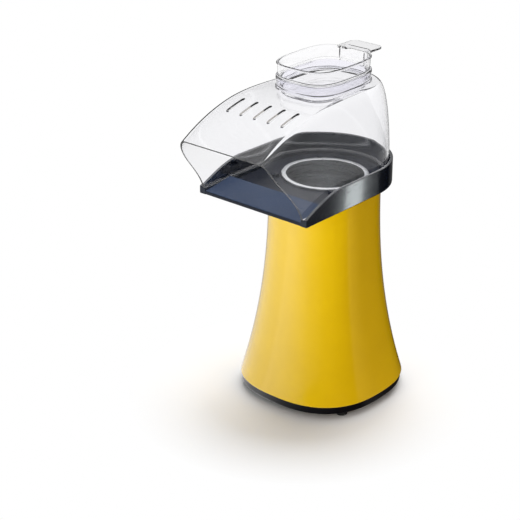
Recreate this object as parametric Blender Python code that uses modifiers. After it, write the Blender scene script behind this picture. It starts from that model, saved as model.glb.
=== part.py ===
"""Hot-air popcorn maker, built as an assembly of separate pieces.

Metres, +Z up, standing on z = 0. The chute faces -Y and +X is to its right.
Every piece is modelled about the upright axis of the body and hangs on one
empty, which stands where the whole object's box is centred on the origin.
"""
import math

import bmesh
import bpy
from mathutils import Matrix, Vector

MM = 0.001

# ---------------------------------------------------------------- clearances
GAP = 0.3 * MM                      # between faces that touch
SLIDE_GAP = 0.5 * MM                # around a piece that lifts out
BORE_GAP = 0.25 * MM                # around a shaft or a screw

# ---------------------------------------------------------------- housing
HOUSING_SECTION = 2.5               # superellipse power of the rounded-square section
HOUSING_TOP_RADIUS = 56.0 * MM
HOUSING_FLARE = 28.6 * MM           # how much wider the foot of the shell is
HOUSING_FLARE_POWER = 2.25
HOUSING_BOTTOM = 14.0 * MM
HOUSING_HEIGHT = 229.5 * MM
HOUSING_STRAIGHT = 8.5 * MM          # plain length above the flare
HOUSING_WALL = 2.4 * MM
HOUSING_EDGE = 1.2 * MM
BOSS_RADIUS = 4.5 * MM
BOSS_TOP = 44.0 * MM

# ---------------------------------------------------------------- base
FOOT_HEIGHT = 4.7 * MM
FOOT_RADIUS = 6.2 * MM
FOOT_X = 65.0 * MM
FOOT_Y = 45.0 * MM
FOOT_STEM_RADIUS = 2.1 * MM
FOOT_BULB_RADIUS = 2.9 * MM
PLATE_FLOOR = 2.5 * MM
PLATE_INSET = 1.6 * MM              # how far the plate's edge stands inside the housing's
PLATE_RIM_RISE = 5.0 * MM           # the locating rim that enters the housing
PLATE_RIM_WALL = 2.0 * MM
PLATE_EDGE = 1.5 * MM
AIR_SLOT_COUNT = 16
AIR_SLOT_WIDTH = 3.0 * MM
AIR_SLOT_INNER = 20.0 * MM
AIR_SLOT_OUTER = 46.0 * MM

# ---------------------------------------------------------------- screws
SCREW_RADIUS = 1.5 * MM
SCREW_HEAD_RADIUS = 2.8 * MM
SCREW_HEAD_HEIGHT = 1.6 * MM
BASE_SCREW_LENGTH = 14.0 * MM
TRAY_SCREW_LENGTH = 5.2 * MM
DUCT_SCREW_LENGTH = 3.6 * MM
MOTOR_SCREW_LENGTH = 3.2 * MM
MOTOR_SCREW_SPREAD = 9.0 * MM

# ---------------------------------------------------------------- chute tray
TRAY_HALF_WIDTH = 71.5 * MM
TRAY_REACH = 118.0 * MM             # front edge, forward of the body's axis
TRAY_WALL = 3.2 * MM
TRAY_KEY = 0.4 * MM                 # how far the sloping floor runs into the side ledges
TRAY_FLOOR = 3.2 * MM
TRAY_LEDGE_HEIGHT = 7.4 * MM
TRAY_BAND_HEIGHT = 26.2 * MM
TRAY_BAND_LOW = 8.2 * MM            # band height at the front corners
TRAY_BAND_RISE = 61.0 * MM          # length over which the band climbs
TRAY_LIP_HEIGHT = 4.2 * MM
TRAY_RIDGE_HEIGHT = 9.2 * MM
TRAY_RIDGE = 78.0 * MM              # ridge of the sloping floor, forward of the axis
TRAY_SKIN = 3.0 * MM
SPIGOT_DEPTH = 7.5 * MM
SPIGOT_WALL = 1.3 * MM

# ---------------------------------------------------------------- hood
HOOD_WALL = 2.2 * MM
HOOD_REACH = 162.0 * MM             # lip, forward of the body's axis
HOOD_LIP_HALF_WIDTH = 49.5 * MM
HOOD_LIP_DROP = 32.6 * MM
HOOD_DROP_START = 25.0 * MM
HOOD_DROP_POWER = 2.7
HOOD_HEIGHT = 99.3 * MM             # foot to flat top
HOOD_WALL_POWER = 2.2               # roundness of the wall's curve up to the crease
HOOD_SHOULDER = 5.0 * MM             # flat roof beside the neck
HOOD_REAR_SHOULDER = 10.0 * MM       # and behind it
HOOD_LEAN_START = 20.0 * MM
HOOD_TOE_IN = 1.0 * MM              # the wall stands in by this at the mouth
VENT_COUNT = 5
VENT_WIDTH = 3.6 * MM
VENT_LENGTH = 27.0 * MM
VENT_SPACING = 17.8 * MM
VENT_CENTRE = 101.0 * MM

# ---------------------------------------------------------------- neck and cup
NECK_SECTION = 3.4
NECK_HALF_WIDTH = 37.5 * MM
NECK_HALF_LENGTH = 48.5 * MM
NECK_CENTRE = -4.5 * MM             # forward of the axis
NECK_HEIGHT = 10.4 * MM
NECK_WALL = 2.2 * MM
NECK_BEAD = 1.3 * MM
CUP_WALL = 1.8 * MM
CUP_DEPTH = 20.0 * MM               # part that hangs in the neck
CUP_RISE = 15.2 * MM                # part that stands above it
CUP_FLANGE = 1.8 * MM
CUP_RIM = 1.8 * MM
CUP_DRAFT = 1.0 * MM
HANDLE_HALF_WIDTH = 20.0 * MM
HANDLE_REACH = 71.0 * MM            # behind the body's axis
HANDLE_THICKNESS = 2.8 * MM
HANDLE_WEB_REACH = 54.0 * MM
HANDLE_WEB_HALF_WIDTH = 17.0 * MM

# ---------------------------------------------------------------- hot-air core
CHAMBER_RADIUS = 42.0 * MM
CHAMBER_DEPTH = 97.0 * MM
CHAMBER_WALL = 1.0 * MM
CHAMBER_RIM = 4.2 * MM
CHAMBER_RIM_HEIGHT = 2.2 * MM
CHAMBER_CONE = 4.0 * MM
LOUVRE_COUNT = 16
LOUVRE_HEIGHT = 14.0 * MM
LOUVRE_WIDTH = 1.8 * MM
LOUVRE_SKEW = math.radians(35.0)
PLENUM_GAP = 4.0 * MM               # hot air's way up between duct and chamber
DUCT_WALL = 1.0 * MM
DUCT_SHEET = 1.2 * MM               # flanges and ears
DUCT_LENGTH = 131.0 * MM
DUCT_FLANGE = 6.0 * MM
EAR_WIDTH = 8.0 * MM
FAN_BOWL_DEPTH = 28.2 * MM
FAN_CLEARANCE = 6.0 * MM            # between the fan's rim and the bowl
FAN_BLADES = 10
FAN_BLADE_HEIGHT = 14.0 * MM
FAN_HUB_RADIUS = 6.0 * MM
FAN_LIFT = 6.0 * MM                 # blades above the bowl's floor
INLET_HOLES = 6
INLET_RADIUS = 7.5 * MM
INLET_SPREAD = 28.0 * MM
MICA_THICKNESS = 1.0 * MM
MICA_HEIGHT = 28.0 * MM
MICA_DROP = 32.0 * MM               # mica foot below the chamber's floor
COIL_RING_RADIUS = 30.0 * MM
COIL_RADIUS = 5.0 * MM
COIL_WIRE_RADIUS = 0.7 * MM
COIL_TURNS = 10

# ---------------------------------------------------------------- motor
MOTOR_RADIUS = 18.0 * MM
MOTOR_LENGTH = 39.7 * MM
MOTOR_WALL = 1.4 * MM
MOTOR_CAP = 3.7 * MM
SHAFT_RADIUS = 1.6 * MM
BUSH_RADIUS = 4.0 * MM
ARMATURE_RADIUS = 11.3 * MM
ARMATURE_LENGTH = 22.0 * MM
COMMUTATOR_RADIUS = 4.5 * MM
COMMUTATOR_LENGTH = 4.2 * MM
MAGNET_THICKNESS = 4.0 * MM

# ---------------------------------------------------------------- electrics
SWITCH_HEIGHT = 58.0 * MM           # centre above the table, on the rear wall
SWITCH_WIDTH = 13.0 * MM
SWITCH_TALL = 19.0 * MM
SWITCH_DEPTH = 16.0 * MM
SWITCH_BEZEL = 1.5 * MM
ROCKER_WIDTH = 10.4 * MM
ROCKER_TALL = 15.4 * MM
ROCKER_DEPTH = 5.0 * MM
ROCKER_TILT = math.radians(9.0)
GROMMET_HEIGHT = 31.0 * MM
GROMMET_RADIUS = 5.2 * MM
GROMMET_FLANGE = 2.2 * MM
GROMMET_BORE = 3.3 * MM
BOARD_SIZE = (34.0 * MM, 20.0 * MM, 1.6 * MM)
BOARD_Y = -55.0 * MM
BOARD_LIFT = 12.5 * MM
LEAD_RADIUS = 0.9 * MM

# ---------------------------------------------------------------- levels
PLATE_BOTTOM = FOOT_HEIGHT + GAP
PLATE_TOP = PLATE_BOTTOM + PLATE_FLOOR
HOUSING_TOP = HOUSING_BOTTOM + HOUSING_HEIGHT
HOUSING_FLARE_TOP = HOUSING_TOP - HOUSING_STRAIGHT
TRAY_BOTTOM = HOUSING_TOP + GAP
TRAY_FLOOR_TOP = TRAY_BOTTOM + TRAY_FLOOR
LEDGE_TOP = TRAY_BOTTOM + TRAY_LEDGE_HEIGHT
HOOD_FOOT = LEDGE_TOP + GAP
HOOD_TOP = HOOD_FOOT + HOOD_HEIGHT
NECK_TOP = HOOD_TOP + NECK_HEIGHT
CUP_FLANGE_BOTTOM = NECK_TOP + GAP
CUP_FLANGE_TOP = CUP_FLANGE_BOTTOM + CUP_FLANGE
CUP_TOP = CUP_FLANGE_BOTTOM + CUP_RISE
CHAMBER_RIM_BOTTOM = TRAY_FLOOR_TOP + GAP
CHAMBER_BOTTOM = CHAMBER_RIM_BOTTOM - CHAMBER_DEPTH
DUCT_TOP = TRAY_BOTTOM - GAP
DUCT_BOTTOM = DUCT_TOP - DUCT_LENGTH
FAN_BOWL_TOP = DUCT_BOTTOM - GAP
FAN_BOWL_BOTTOM = FAN_BOWL_TOP - FAN_BOWL_DEPTH
FAN_BLADE_BOTTOM = FAN_BOWL_BOTTOM + DUCT_SHEET + FAN_LIFT
MOTOR_TOP = FAN_BOWL_BOTTOM - GAP
MOTOR_BOTTOM = MOTOR_TOP - MOTOR_LENGTH
MICA_BOTTOM = CHAMBER_BOTTOM - MICA_DROP
COIL_HEIGHT = MICA_BOTTOM + MICA_HEIGHT / 2
BOARD_BOTTOM = PLATE_TOP + BOARD_LIFT + GAP

DUCT_RADIUS = CHAMBER_RADIUS + PLENUM_GAP + DUCT_WALL
FAN_RADIUS = DUCT_RADIUS - DUCT_WALL - FAN_CLEARANCE
HOOD_CREASE_WAIST = NECK_HALF_WIDTH + HOOD_SHOULDER
HOOD_CREASE_REAR = NECK_CENTRE + NECK_HALF_LENGTH + HOOD_REAR_SHOULDER
DIAGONAL = 2.0 ** (0.5 - 1.0 / HOUSING_SECTION)
BASE_RADIUS = HOUSING_TOP_RADIUS + HOUSING_FLARE
AXIS_Y = (HOOD_REACH - BASE_RADIUS) / 2

# ---------------------------------------------------------------- scene helpers


def clear_scene():
    for existing in list(bpy.data.objects):
        bpy.data.objects.remove(existing, do_unlink=True)


def new_collection(name):
    collection = bpy.data.collections.new(name)
    bpy.context.scene.collection.children.link(collection)
    return collection


def linear(value):
    return value / 12.92 if value <= 0.04045 else ((value + 0.055) / 1.055) ** 2.4


def material(name, color, roughness, metallic=0.0, alpha=1.0):
    made = bpy.data.materials.new(name)
    made.use_nodes = True
    shader = made.node_tree.nodes["Principled BSDF"]
    red, green, blue = (linear(channel / 255) for channel in color)
    shader.inputs["Base Color"].default_value = (red, green, blue, 1.0)
    shader.inputs["Roughness"].default_value = roughness
    shader.inputs["Metallic"].default_value = metallic
    shader.inputs["Alpha"].default_value = alpha
    return made


clear_scene()
PARTS = new_collection("popcorn_maker")
CUTTERS = new_collection("cutters")
AXIS = bpy.data.objects.new("body_axis", None)
PARTS.objects.link(AXIS)
AXIS.location = (0.0, AXIS_Y, 0.0)

YELLOW = material("yellow_plastic", (233, 182, 30), 0.25)
SLATE = material("slate_plastic", (34, 38, 54), 0.25)
BLACK = material("black_plastic", (20, 20, 22), 0.4)
CLEAR = material("clear_plastic", (225, 230, 232), 0.05, alpha=0.35)
RUBBER = material("rubber", (18, 18, 18), 0.8)
ALUMINIUM = material("aluminium", (190, 192, 194), 0.35, 1.0)
STEEL = material("steel", (160, 162, 165), 0.3, 1.0)
BRASS = material("bronze", (170, 120, 60), 0.35, 1.0)
COPPER = material("copper", (184, 98, 60), 0.35, 1.0)
MAGNET = material("ferrite", (48, 48, 50), 0.6)
MICA = material("mica", (196, 178, 140), 0.5)
NICHROME = material("nichrome", (120, 112, 104), 0.45, 1.0)
BOARD = material("board", (150, 112, 60), 0.6)
RED = material("red_plastic", (170, 26, 24), 0.35)
LEAD_RED = material("lead_red", (170, 30, 30), 0.5)
LEAD_BLACK = material("lead_black", (24, 24, 26), 0.5)
LEAD_WHITE = material("lead_white", (215, 213, 205), 0.5)


def place(name, data, look=None, parent=AXIS):
    """Add data as an object: a part if it has a look, else a cutter."""
    thing = bpy.data.objects.new(name, data)
    thing.parent = parent
    if look is None:
        CUTTERS.objects.link(thing)
        thing.hide_render = True
        thing.display_type = "WIRE"
    else:
        PARTS.objects.link(thing)
        data.materials.append(look)
    return thing


def combine(target, other, operation):
    modifier = target.modifiers.new(operation.lower() + "_" + other.name, "BOOLEAN")
    modifier.operation = operation
    modifier.solver = "EXACT"
    modifier.object = other


def cut(target, other):
    combine(target, other, "DIFFERENCE")


def fuse(target, other):
    combine(target, other, "UNION")


def finish_mesh(name, bm, smooth=True):
    """Turn a bmesh into a mesh with outward faces and soft round sides."""
    bmesh.ops.recalc_face_normals(bm, faces=bm.faces)
    mesh = bpy.data.meshes.new(name)
    bm.to_mesh(mesh)
    bm.free()
    if smooth:
        mesh.shade_smooth()
        mesh.set_sharp_from_angle(angle=math.radians(32.0))
    return mesh


# ---------------------------------------------------------------- shape helpers


def turned(name, profile, segments, look=None, closed=False, parent=AXIS):
    """Turn a profile of (radius, height) points about Z with a Screw modifier.

    The profile runs down its outer side. A closed one is a ring.
    """
    mesh = bpy.data.meshes.new(name)
    count = len(profile)
    edges = [(i, i + 1) for i in range(count - 1)]
    if closed:
        edges.append((count - 1, 0))
    mesh.from_pydata([(radius, 0.0, height) for radius, height in profile], edges, [])
    thing = place(name, mesh, look, parent)
    screw = thing.modifiers.new("turn", "SCREW")
    screw.steps = segments
    screw.render_steps = segments
    screw.use_merge_vertices = True
    screw.merge_threshold = 0.00001
    return thing


def boxes(name, items, look=None, parent=AXIS):
    """Boxes of (size, matrix) as one mesh object."""
    bm = bmesh.new()
    for size, matrix in items:
        bmesh.ops.create_cube(bm, size=1.0, matrix=matrix @ Matrix.Diagonal((*size, 1.0)))
    return place(name, finish_mesh(name, bm, smooth=False), look, parent)


def box(name, low, high, look=None, parent=AXIS):
    low, high = Vector(low), Vector(high)
    return boxes(name, [(high - low, Matrix.Translation((low + high) / 2))], look, parent)


def rods(name, items, segments, look=None, parent=AXIS):
    """Round rods of (radius, length, matrix), each centred on its matrix, along its Z."""
    bm = bmesh.new()
    for radius, length, matrix in items:
        bmesh.ops.create_cone(bm, cap_ends=True, segments=segments, radius1=radius,
                              radius2=radius, depth=length, matrix=matrix)
    return place(name, finish_mesh(name, bm), look, parent)


def upright_rods(name, centres, radius, low, high, segments, look=None):
    items = []
    for x, y in centres:
        items.append((radius, high - low, Matrix.Translation((x, y, (low + high) / 2))))
    return rods(name, items, segments, look)


def plates(name, outlines, low, high, look=None, matrix=None, parent=AXIS):
    """Flat outlines of (x, y) points, extruded from low to high along Z."""
    curve = bpy.data.curves.new(name, "CURVE")
    curve.dimensions = "2D"
    curve.fill_mode = "BOTH"
    curve.extrude = (high - low) / 2
    for outline in outlines:
        spline = curve.splines.new("POLY")
        spline.points.add(len(outline) - 1)
        for point, (x, y) in zip(spline.points, outline):
            point.co = (x, y, 0.0, 1.0)
        spline.use_cyclic_u = True
    guide = bpy.data.objects.new(name, curve)
    bpy.context.scene.collection.objects.link(guide)
    depsgraph = bpy.context.evaluated_depsgraph_get()
    mesh = bpy.data.meshes.new_from_object(guide.evaluated_get(depsgraph))
    bpy.data.objects.remove(guide, do_unlink=True)
    bm = bmesh.new()
    bm.from_mesh(mesh)
    bpy.data.meshes.remove(mesh)
    bmesh.ops.remove_doubles(bm, verts=bm.verts, dist=0.000001)
    bmesh.ops.translate(bm, verts=bm.verts, vec=(0.0, 0.0, (low + high) / 2))
    if matrix is not None:
        bmesh.ops.transform(bm, matrix=matrix, verts=bm.verts)
    return place(name, finish_mesh(name, bm), look, parent)


SIDE_PROFILE = Matrix(((0, 0, 1, 0), (1, 0, 0, 0), (0, 1, 0, 0), (0, 0, 0, 1)))


def side_prism(name, profile, half_width, look=None):
    """A profile of (y, z) points, extruded across X."""
    return plates(name, [profile], -half_width, half_width, look, SIDE_PROFILE)


def loft(name, rings, look=None, hollow=False, parent=AXIS):
    """Skin rings of equal point counts; a hollow loft closes on its first ring."""
    bm = bmesh.new()
    loops = [[bm.verts.new(point) for point in ring] for ring in rings]
    pairs = list(zip(loops, loops[1:]))
    if hollow:
        pairs.append((loops[-1], loops[0]))
    for lower, upper in pairs:
        for i in range(len(lower)):
            j = (i + 1) % len(lower)
            bm.faces.new((lower[i], lower[j], upper[j], upper[i]))
    if not hollow:
        bm.faces.new(reversed(loops[0]))
        bm.faces.new(loops[-1])
    return place(name, finish_mesh(name, bm), look, parent)


def superellipse(half_x, half_y, power, z, count, centre_y=0.0):
    ring = []
    for i in range(count):
        angle = math.tau * i / count
        c, s = math.cos(angle), math.sin(angle)
        scale = (abs(c) ** power + abs(s) ** power) ** (-1.0 / power)
        ring.append((half_x * c * scale, centre_y + half_y * s * scale, z))
    return ring


def housing_ring(radius, z, count=40):
    return superellipse(radius, radius, HOUSING_SECTION, z, count)


def neck_ring(inset, z, count=32):
    """The neck's outline, drawn in by inset."""
    half_x = NECK_HALF_WIDTH - inset
    half_y = NECK_HALF_LENGTH - inset
    return superellipse(half_x, half_y, NECK_SECTION, z, count, NECK_CENTRE)


def d_outline(half_width, front, steps=24):
    """Straight front and sides, with a half circle behind the axis."""
    points = [(-half_width, front), (half_width, front)]
    for i in range(steps + 1):
        angle = math.pi * i / steps
        points.append((half_width * math.cos(angle), half_width * math.sin(angle)))
    return points


def slot_outline(x, y, width, length, steps=5):
    """A slot along Y with round ends."""
    radius = width / 2
    straight = length / 2 - radius
    points = []
    for end, start in ((1, 0.0), (-1, math.pi)):
        for i in range(steps + 1):
            angle = start + math.pi * i / steps
            points.append((x + radius * math.cos(angle), y + end * straight + radius * math.sin(angle)))
    return points


def tab_outline(half_width, front, rear, corner, steps=4):
    """A rectangle whose two rear corners are round."""
    points = [(-half_width, front), (half_width, front)]
    for side, start in ((1, 0.0), (-1, math.pi / 2)):
        for i in range(steps + 1):
            angle = start + math.pi / 2 * i / steps
            x = side * (half_width - corner) + corner * math.cos(angle)
            points.append((x, rear - corner + corner * math.sin(angle)))
    return points


def around(count, radius, start=0.0):
    """Points of a circle about the axis, with their angles."""
    spots = []
    for i in range(count):
        angle = start + math.tau * i / count
        spots.append((radius * math.cos(angle), radius * math.sin(angle), angle))
    return spots


def corners(x, y):
    return [(x, y), (-x, y), (-x, -y), (x, -y)]


def through_points(route, steps):
    """A smooth curve through a route's points (Catmull-Rom)."""
    points = [Vector(point) for point in route]
    padded = [2 * points[0] - points[1]] + points + [2 * points[-1] - points[-2]]
    smooth = []
    for a, b, c, d in zip(padded, padded[1:], padded[2:], padded[3:]):
        for i in range(steps):
            t = i / steps
            smooth.append(0.5 * (2 * b + (c - a) * t + (2 * a - 5 * b + 4 * c - d) * t ** 2
                                 + (3 * b - a - 3 * c + d) * t ** 3))
    smooth.append(points[-1])
    return smooth


def wire(name, points, radius, look):
    curve = bpy.data.curves.new(name, "CURVE")
    curve.dimensions = "3D"
    curve.bevel_depth = radius
    curve.bevel_resolution = 2
    curve.use_fill_caps = True
    spline = curve.splines.new("POLY")
    spline.points.add(len(points) - 1)
    for point, place_at in zip(spline.points, points):
        point.co = (*place_at, 1.0)
    return place(name, curve, look)


def screw(name, x, y, head, length, look, downwards=False):
    """A pan-head screw whose head's underside is at head; its shank goes up, or down."""
    way = -1.0 if downwards else 1.0
    top = head - way * SCREW_HEAD_HEIGHT
    tip = head + way * length
    profile = [
        (0.0, tip), (SCREW_RADIUS * 0.6, tip), (SCREW_RADIUS, tip - way * 0.8 * MM),
        (SCREW_RADIUS, head), (SCREW_HEAD_RADIUS, head),
        (SCREW_HEAD_RADIUS, head - way * SCREW_HEAD_HEIGHT * 0.5),
        (SCREW_HEAD_RADIUS * 0.7, top), (0.0, top),
    ]
    if downwards:
        profile.reverse()
    made = turned(name, profile, 10, look)
    made.location = (x, y, 0.0)
    return made


# ---------------------------------------------------------------- housing


def housing_radius(z):
    """Outer half-width of the shell at a height: straight above, flared below."""
    share = (z - HOUSING_BOTTOM) / (HOUSING_FLARE_TOP - HOUSING_BOTTOM)
    share = min(max(share, 0.0), 1.0)
    return HOUSING_TOP_RADIUS + HOUSING_FLARE * (1.0 - share) ** HOUSING_FLARE_POWER


def housing_lean(z):
    """Angle by which the shell's wall leans in at a height."""
    step = 1.0 * MM
    return math.atan2(housing_radius(z - step) - housing_radius(z + step), 2 * step)


BOSS_SPREAD = DIAGONAL * (housing_radius(BOSS_TOP) - HOUSING_WALL / 4) - BOSS_RADIUS
BOSS_SPOTS = corners(BOSS_SPREAD * math.sqrt(0.5), BOSS_SPREAD * math.sqrt(0.5))


def wall_seat(name, height):
    """An empty on the rear wall: local Z points out of the wall and Y up along it."""
    lean = housing_lean(height)
    c, s = math.cos(lean), math.sin(lean)
    seat = bpy.data.objects.new(name, None)
    PARTS.objects.link(seat)
    seat.parent = AXIS
    turn = Matrix(((-1, 0, 0), (0, -s, c), (0, c, s))).to_4x4()
    seat.matrix_local = Matrix.Translation((0.0, housing_radius(height), height)) @ turn
    return seat


def make_housing():
    rings = [housing_ring(BASE_RADIUS - HOUSING_EDGE, HOUSING_BOTTOM)]
    outer_steps = 8
    inner_steps = 5
    first = HOUSING_BOTTOM + HOUSING_EDGE
    for i in range(outer_steps + 1):
        share = (i / outer_steps) ** 1.15
        height = first + (HOUSING_FLARE_TOP - first) * share
        rings.append(housing_ring(housing_radius(height), height))
    rings.append(housing_ring(HOUSING_TOP_RADIUS, HOUSING_TOP))
    rings.append(housing_ring(HOUSING_TOP_RADIUS - HOUSING_WALL, HOUSING_TOP))
    for i in range(inner_steps + 1):
        share = (1.0 - i / inner_steps) ** 1.4
        height = HOUSING_BOTTOM + (HOUSING_FLARE_TOP - HOUSING_BOTTOM) * share
        rings.append(housing_ring(housing_radius(height) - HOUSING_WALL, height))
    shell = loft("housing", rings, YELLOW, hollow=True)
    fuse(shell, upright_rods("housing_bosses", BOSS_SPOTS, BOSS_RADIUS,
                             PLATE_TOP + GAP, BOSS_TOP, 16))
    cut(shell, upright_rods("boss_pilots", BOSS_SPOTS, SCREW_RADIUS + BORE_GAP,
                            PLATE_BOTTOM, PLATE_BOTTOM + BASE_SCREW_LENGTH + 3 * MM, 12))
    return shell


# ---------------------------------------------------------------- base


def make_base_plate():
    edge = BASE_RADIUS - PLATE_INSET
    shoulder = HOUSING_BOTTOM - GAP
    rim_top = HOUSING_BOTTOM + PLATE_RIM_RISE
    rim = housing_radius(rim_top) - HOUSING_WALL - SLIDE_GAP
    rings = [
        housing_ring(edge - PLATE_EDGE, PLATE_BOTTOM),
        housing_ring(edge, PLATE_BOTTOM + PLATE_EDGE),
        housing_ring(edge, shoulder),
        housing_ring(rim, shoulder),
        housing_ring(rim, rim_top),
        housing_ring(rim - PLATE_RIM_WALL, rim_top),
        housing_ring(rim - PLATE_RIM_WALL, PLATE_TOP),
    ]
    plate = loft("base_plate", rings, BLACK)
    slots = []
    middle = (AIR_SLOT_INNER + AIR_SLOT_OUTER) / 2
    size = (AIR_SLOT_OUTER - AIR_SLOT_INNER, AIR_SLOT_WIDTH, 4 * PLATE_FLOOR)
    for x, y, angle in around(AIR_SLOT_COUNT, middle, math.pi / AIR_SLOT_COUNT):
        spot = Matrix.Translation((x, y, PLATE_BOTTOM)) @ Matrix.Rotation(angle, 4, "Z")
        slots.append((size, spot))
    cut(plate, boxes("air_slots", slots))
    cut(plate, upright_rods("foot_holes", corners(FOOT_X, FOOT_Y), FOOT_STEM_RADIUS + GAP,
                            0.0, 3 * PLATE_TOP, 12))
    cut(plate, upright_rods("plate_screw_holes", BOSS_SPOTS, SCREW_RADIUS + GAP,
                            0.0, 2 * PLATE_TOP, 12))
    sink = PLATE_BOTTOM + PLATE_FLOOR / 2
    cut(plate, upright_rods("plate_screw_sinks", BOSS_SPOTS, SCREW_HEAD_RADIUS + SLIDE_GAP,
                            0.0, sink, 16))
    post_top = BOARD_BOTTOM - GAP
    posts = [(-BOARD_SIZE[0] / 3, BOARD_Y), (BOARD_SIZE[0] / 3, BOARD_Y)]
    fuse(plate, upright_rods("board_posts", posts, 2.4 * MM, PLATE_TOP - 1 * MM, post_top, 10))
    return plate


def make_feet():
    for number, (x, y) in enumerate(corners(FOOT_X, FOOT_Y), start=1):
        bulb = PLATE_TOP + GAP
        profile = [
            (0.0, bulb + 1.8 * MM), (FOOT_BULB_RADIUS * 0.6, bulb + 1.6 * MM),
            (FOOT_BULB_RADIUS, bulb + 0.6 * MM), (FOOT_BULB_RADIUS, bulb),
            (FOOT_STEM_RADIUS, bulb), (FOOT_STEM_RADIUS, FOOT_HEIGHT),
            (FOOT_RADIUS, FOOT_HEIGHT), (FOOT_RADIUS, 1.0 * MM),
            (FOOT_RADIUS - 0.8 * MM, 0.0), (0.0, 0.0),
        ]
        foot = turned("foot_%d" % number, profile, 12, RUBBER)
        foot.location = (x, y, 0.0)


def make_base_screws():
    head = PLATE_BOTTOM + PLATE_FLOOR / 2 - GAP
    for number, (x, y) in enumerate(BOSS_SPOTS, start=1):
        screw("base_screw_%d" % number, x, y, head, BASE_SCREW_LENGTH, STEEL)


# ---------------------------------------------------------------- chute tray

HOOD_HALF_WIDTH = TRAY_HALF_WIDTH - TRAY_WALL - SLIDE_GAP
SPIGOT_RADIUS = HOUSING_TOP_RADIUS - HOUSING_WALL - SLIDE_GAP
EAR_REACH = DIAGONAL * (SPIGOT_RADIUS - SPIGOT_WALL) - SLIDE_GAP
EAR_SCREW_SPREAD = EAR_REACH - SCREW_HEAD_RADIUS - SLIDE_GAP
EAR_SPOTS = corners(EAR_SCREW_SPREAD * math.sqrt(0.5), EAR_SCREW_SPREAD * math.sqrt(0.5))


def tray_band_top(y):
    """Height of the band's top edge: low at the front corners, climbing to full height."""
    climb = min(max((y + TRAY_REACH) / TRAY_BAND_RISE, 0.0), 1.0)
    low = TRAY_BOTTOM + TRAY_BAND_LOW
    return low + (TRAY_BAND_HEIGHT - TRAY_BAND_LOW) * math.sin(climb * math.pi / 2)


def make_chute_tray():
    high = TRAY_BOTTOM + 2 * TRAY_BAND_HEIGHT
    ahead = -TRAY_REACH - 10 * MM
    tray = plates("chute_tray", [d_outline(TRAY_HALF_WIDTH, -TRAY_REACH, 28)],
                  TRAY_BOTTOM, high - 5 * MM, SLATE)
    steps = 9
    crest = [(ahead, high), (ahead, tray_band_top(-TRAY_REACH))]
    for i in range(steps + 1):
        y = -TRAY_REACH + TRAY_BAND_RISE * i / steps
        crest.append((y, tray_band_top(y)))
    crest += [(TRAY_REACH, TRAY_BOTTOM + TRAY_BAND_HEIGHT), (TRAY_REACH, high)]
    cut(tray, side_prism("tray_crest", crest, TRAY_REACH))
    pocket = TRAY_HALF_WIDTH - TRAY_WALL
    cut(tray, plates("tray_pocket", [d_outline(pocket, ahead, 28)], LEDGE_TOP, high))
    inner = HOOD_HALF_WIDTH - HOOD_TOE_IN - HOOD_WALL - SLIDE_GAP - TRAY_KEY
    recess_front = -TRAY_RIDGE - TRAY_SKIN / 2
    cut(tray, box("tray_bay", (-inner, ahead, 0.0), (inner, recess_front, LEDGE_TOP + 1 * MM)))
    cut(tray, plates("tray_recess", [d_outline(inner, recess_front - 1 * MM, 28)],
                     TRAY_FLOOR_TOP, LEDGE_TOP + 1 * MM))
    lip_front = -TRAY_REACH + GAP
    ridge_low = TRAY_BOTTOM + GAP
    floor_profile = [
        (lip_front, ridge_low),
        (lip_front, TRAY_BOTTOM + TRAY_LIP_HEIGHT),
        (-TRAY_RIDGE, TRAY_BOTTOM + TRAY_RIDGE_HEIGHT),
        (-TRAY_RIDGE, ridge_low),
        (-TRAY_RIDGE - TRAY_SKIN, ridge_low),
        (-TRAY_RIDGE - TRAY_SKIN, TRAY_BOTTOM + TRAY_RIDGE_HEIGHT - TRAY_SKIN),
        (lip_front + TRAY_SKIN, TRAY_BOTTOM + TRAY_LIP_HEIGHT - TRAY_SKIN * 0.8),
        (lip_front + TRAY_SKIN, ridge_low),
    ]
    fuse(tray, side_prism("tray_slope", floor_profile, inner + TRAY_KEY))
    cut(tray, upright_rods("tray_mouth", [(0.0, 0.0)], CHAMBER_RADIUS + SLIDE_GAP,
                           0.0, high, 36))
    spigot = [
        housing_ring(SPIGOT_RADIUS, TRAY_BOTTOM - SPIGOT_DEPTH, 40),
        housing_ring(SPIGOT_RADIUS, TRAY_BOTTOM + TRAY_FLOOR / 2, 40),
        housing_ring(SPIGOT_RADIUS - SPIGOT_WALL, TRAY_BOTTOM + TRAY_FLOOR / 2, 40),
        housing_ring(SPIGOT_RADIUS - SPIGOT_WALL, TRAY_BOTTOM - SPIGOT_DEPTH, 40),
    ]
    fuse(tray, loft("tray_spigot", spigot, hollow=True))
    boss_top = TRAY_FLOOR_TOP + 3.0 * MM
    fuse(tray, upright_rods("tray_bosses", EAR_SPOTS, SCREW_RADIUS + 2 * MM,
                            TRAY_FLOOR_TOP - 1 * MM, boss_top, 14))
    cut(tray, upright_rods("tray_pilots", EAR_SPOTS, SCREW_RADIUS + BORE_GAP,
                           0.0, boss_top - 1.2 * MM, 12))
    return tray


def make_tray_screws():
    head = DUCT_TOP - DUCT_SHEET - GAP
    for number, (x, y) in enumerate(EAR_SPOTS, start=1):
        screw("tray_screw_%d" % number, x, y, head, TRAY_SCREW_LENGTH, STEEL)


# ---------------------------------------------------------------- hood

def hood_roof(y):
    """Height of the roof: flat over the body, dropping towards the lip."""
    ahead = max(-HOOD_DROP_START - y, 0.0) / (HOOD_REACH - HOOD_DROP_START)
    return HOOD_TOP - HOOD_LIP_DROP * ahead ** HOOD_DROP_POWER


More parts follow.
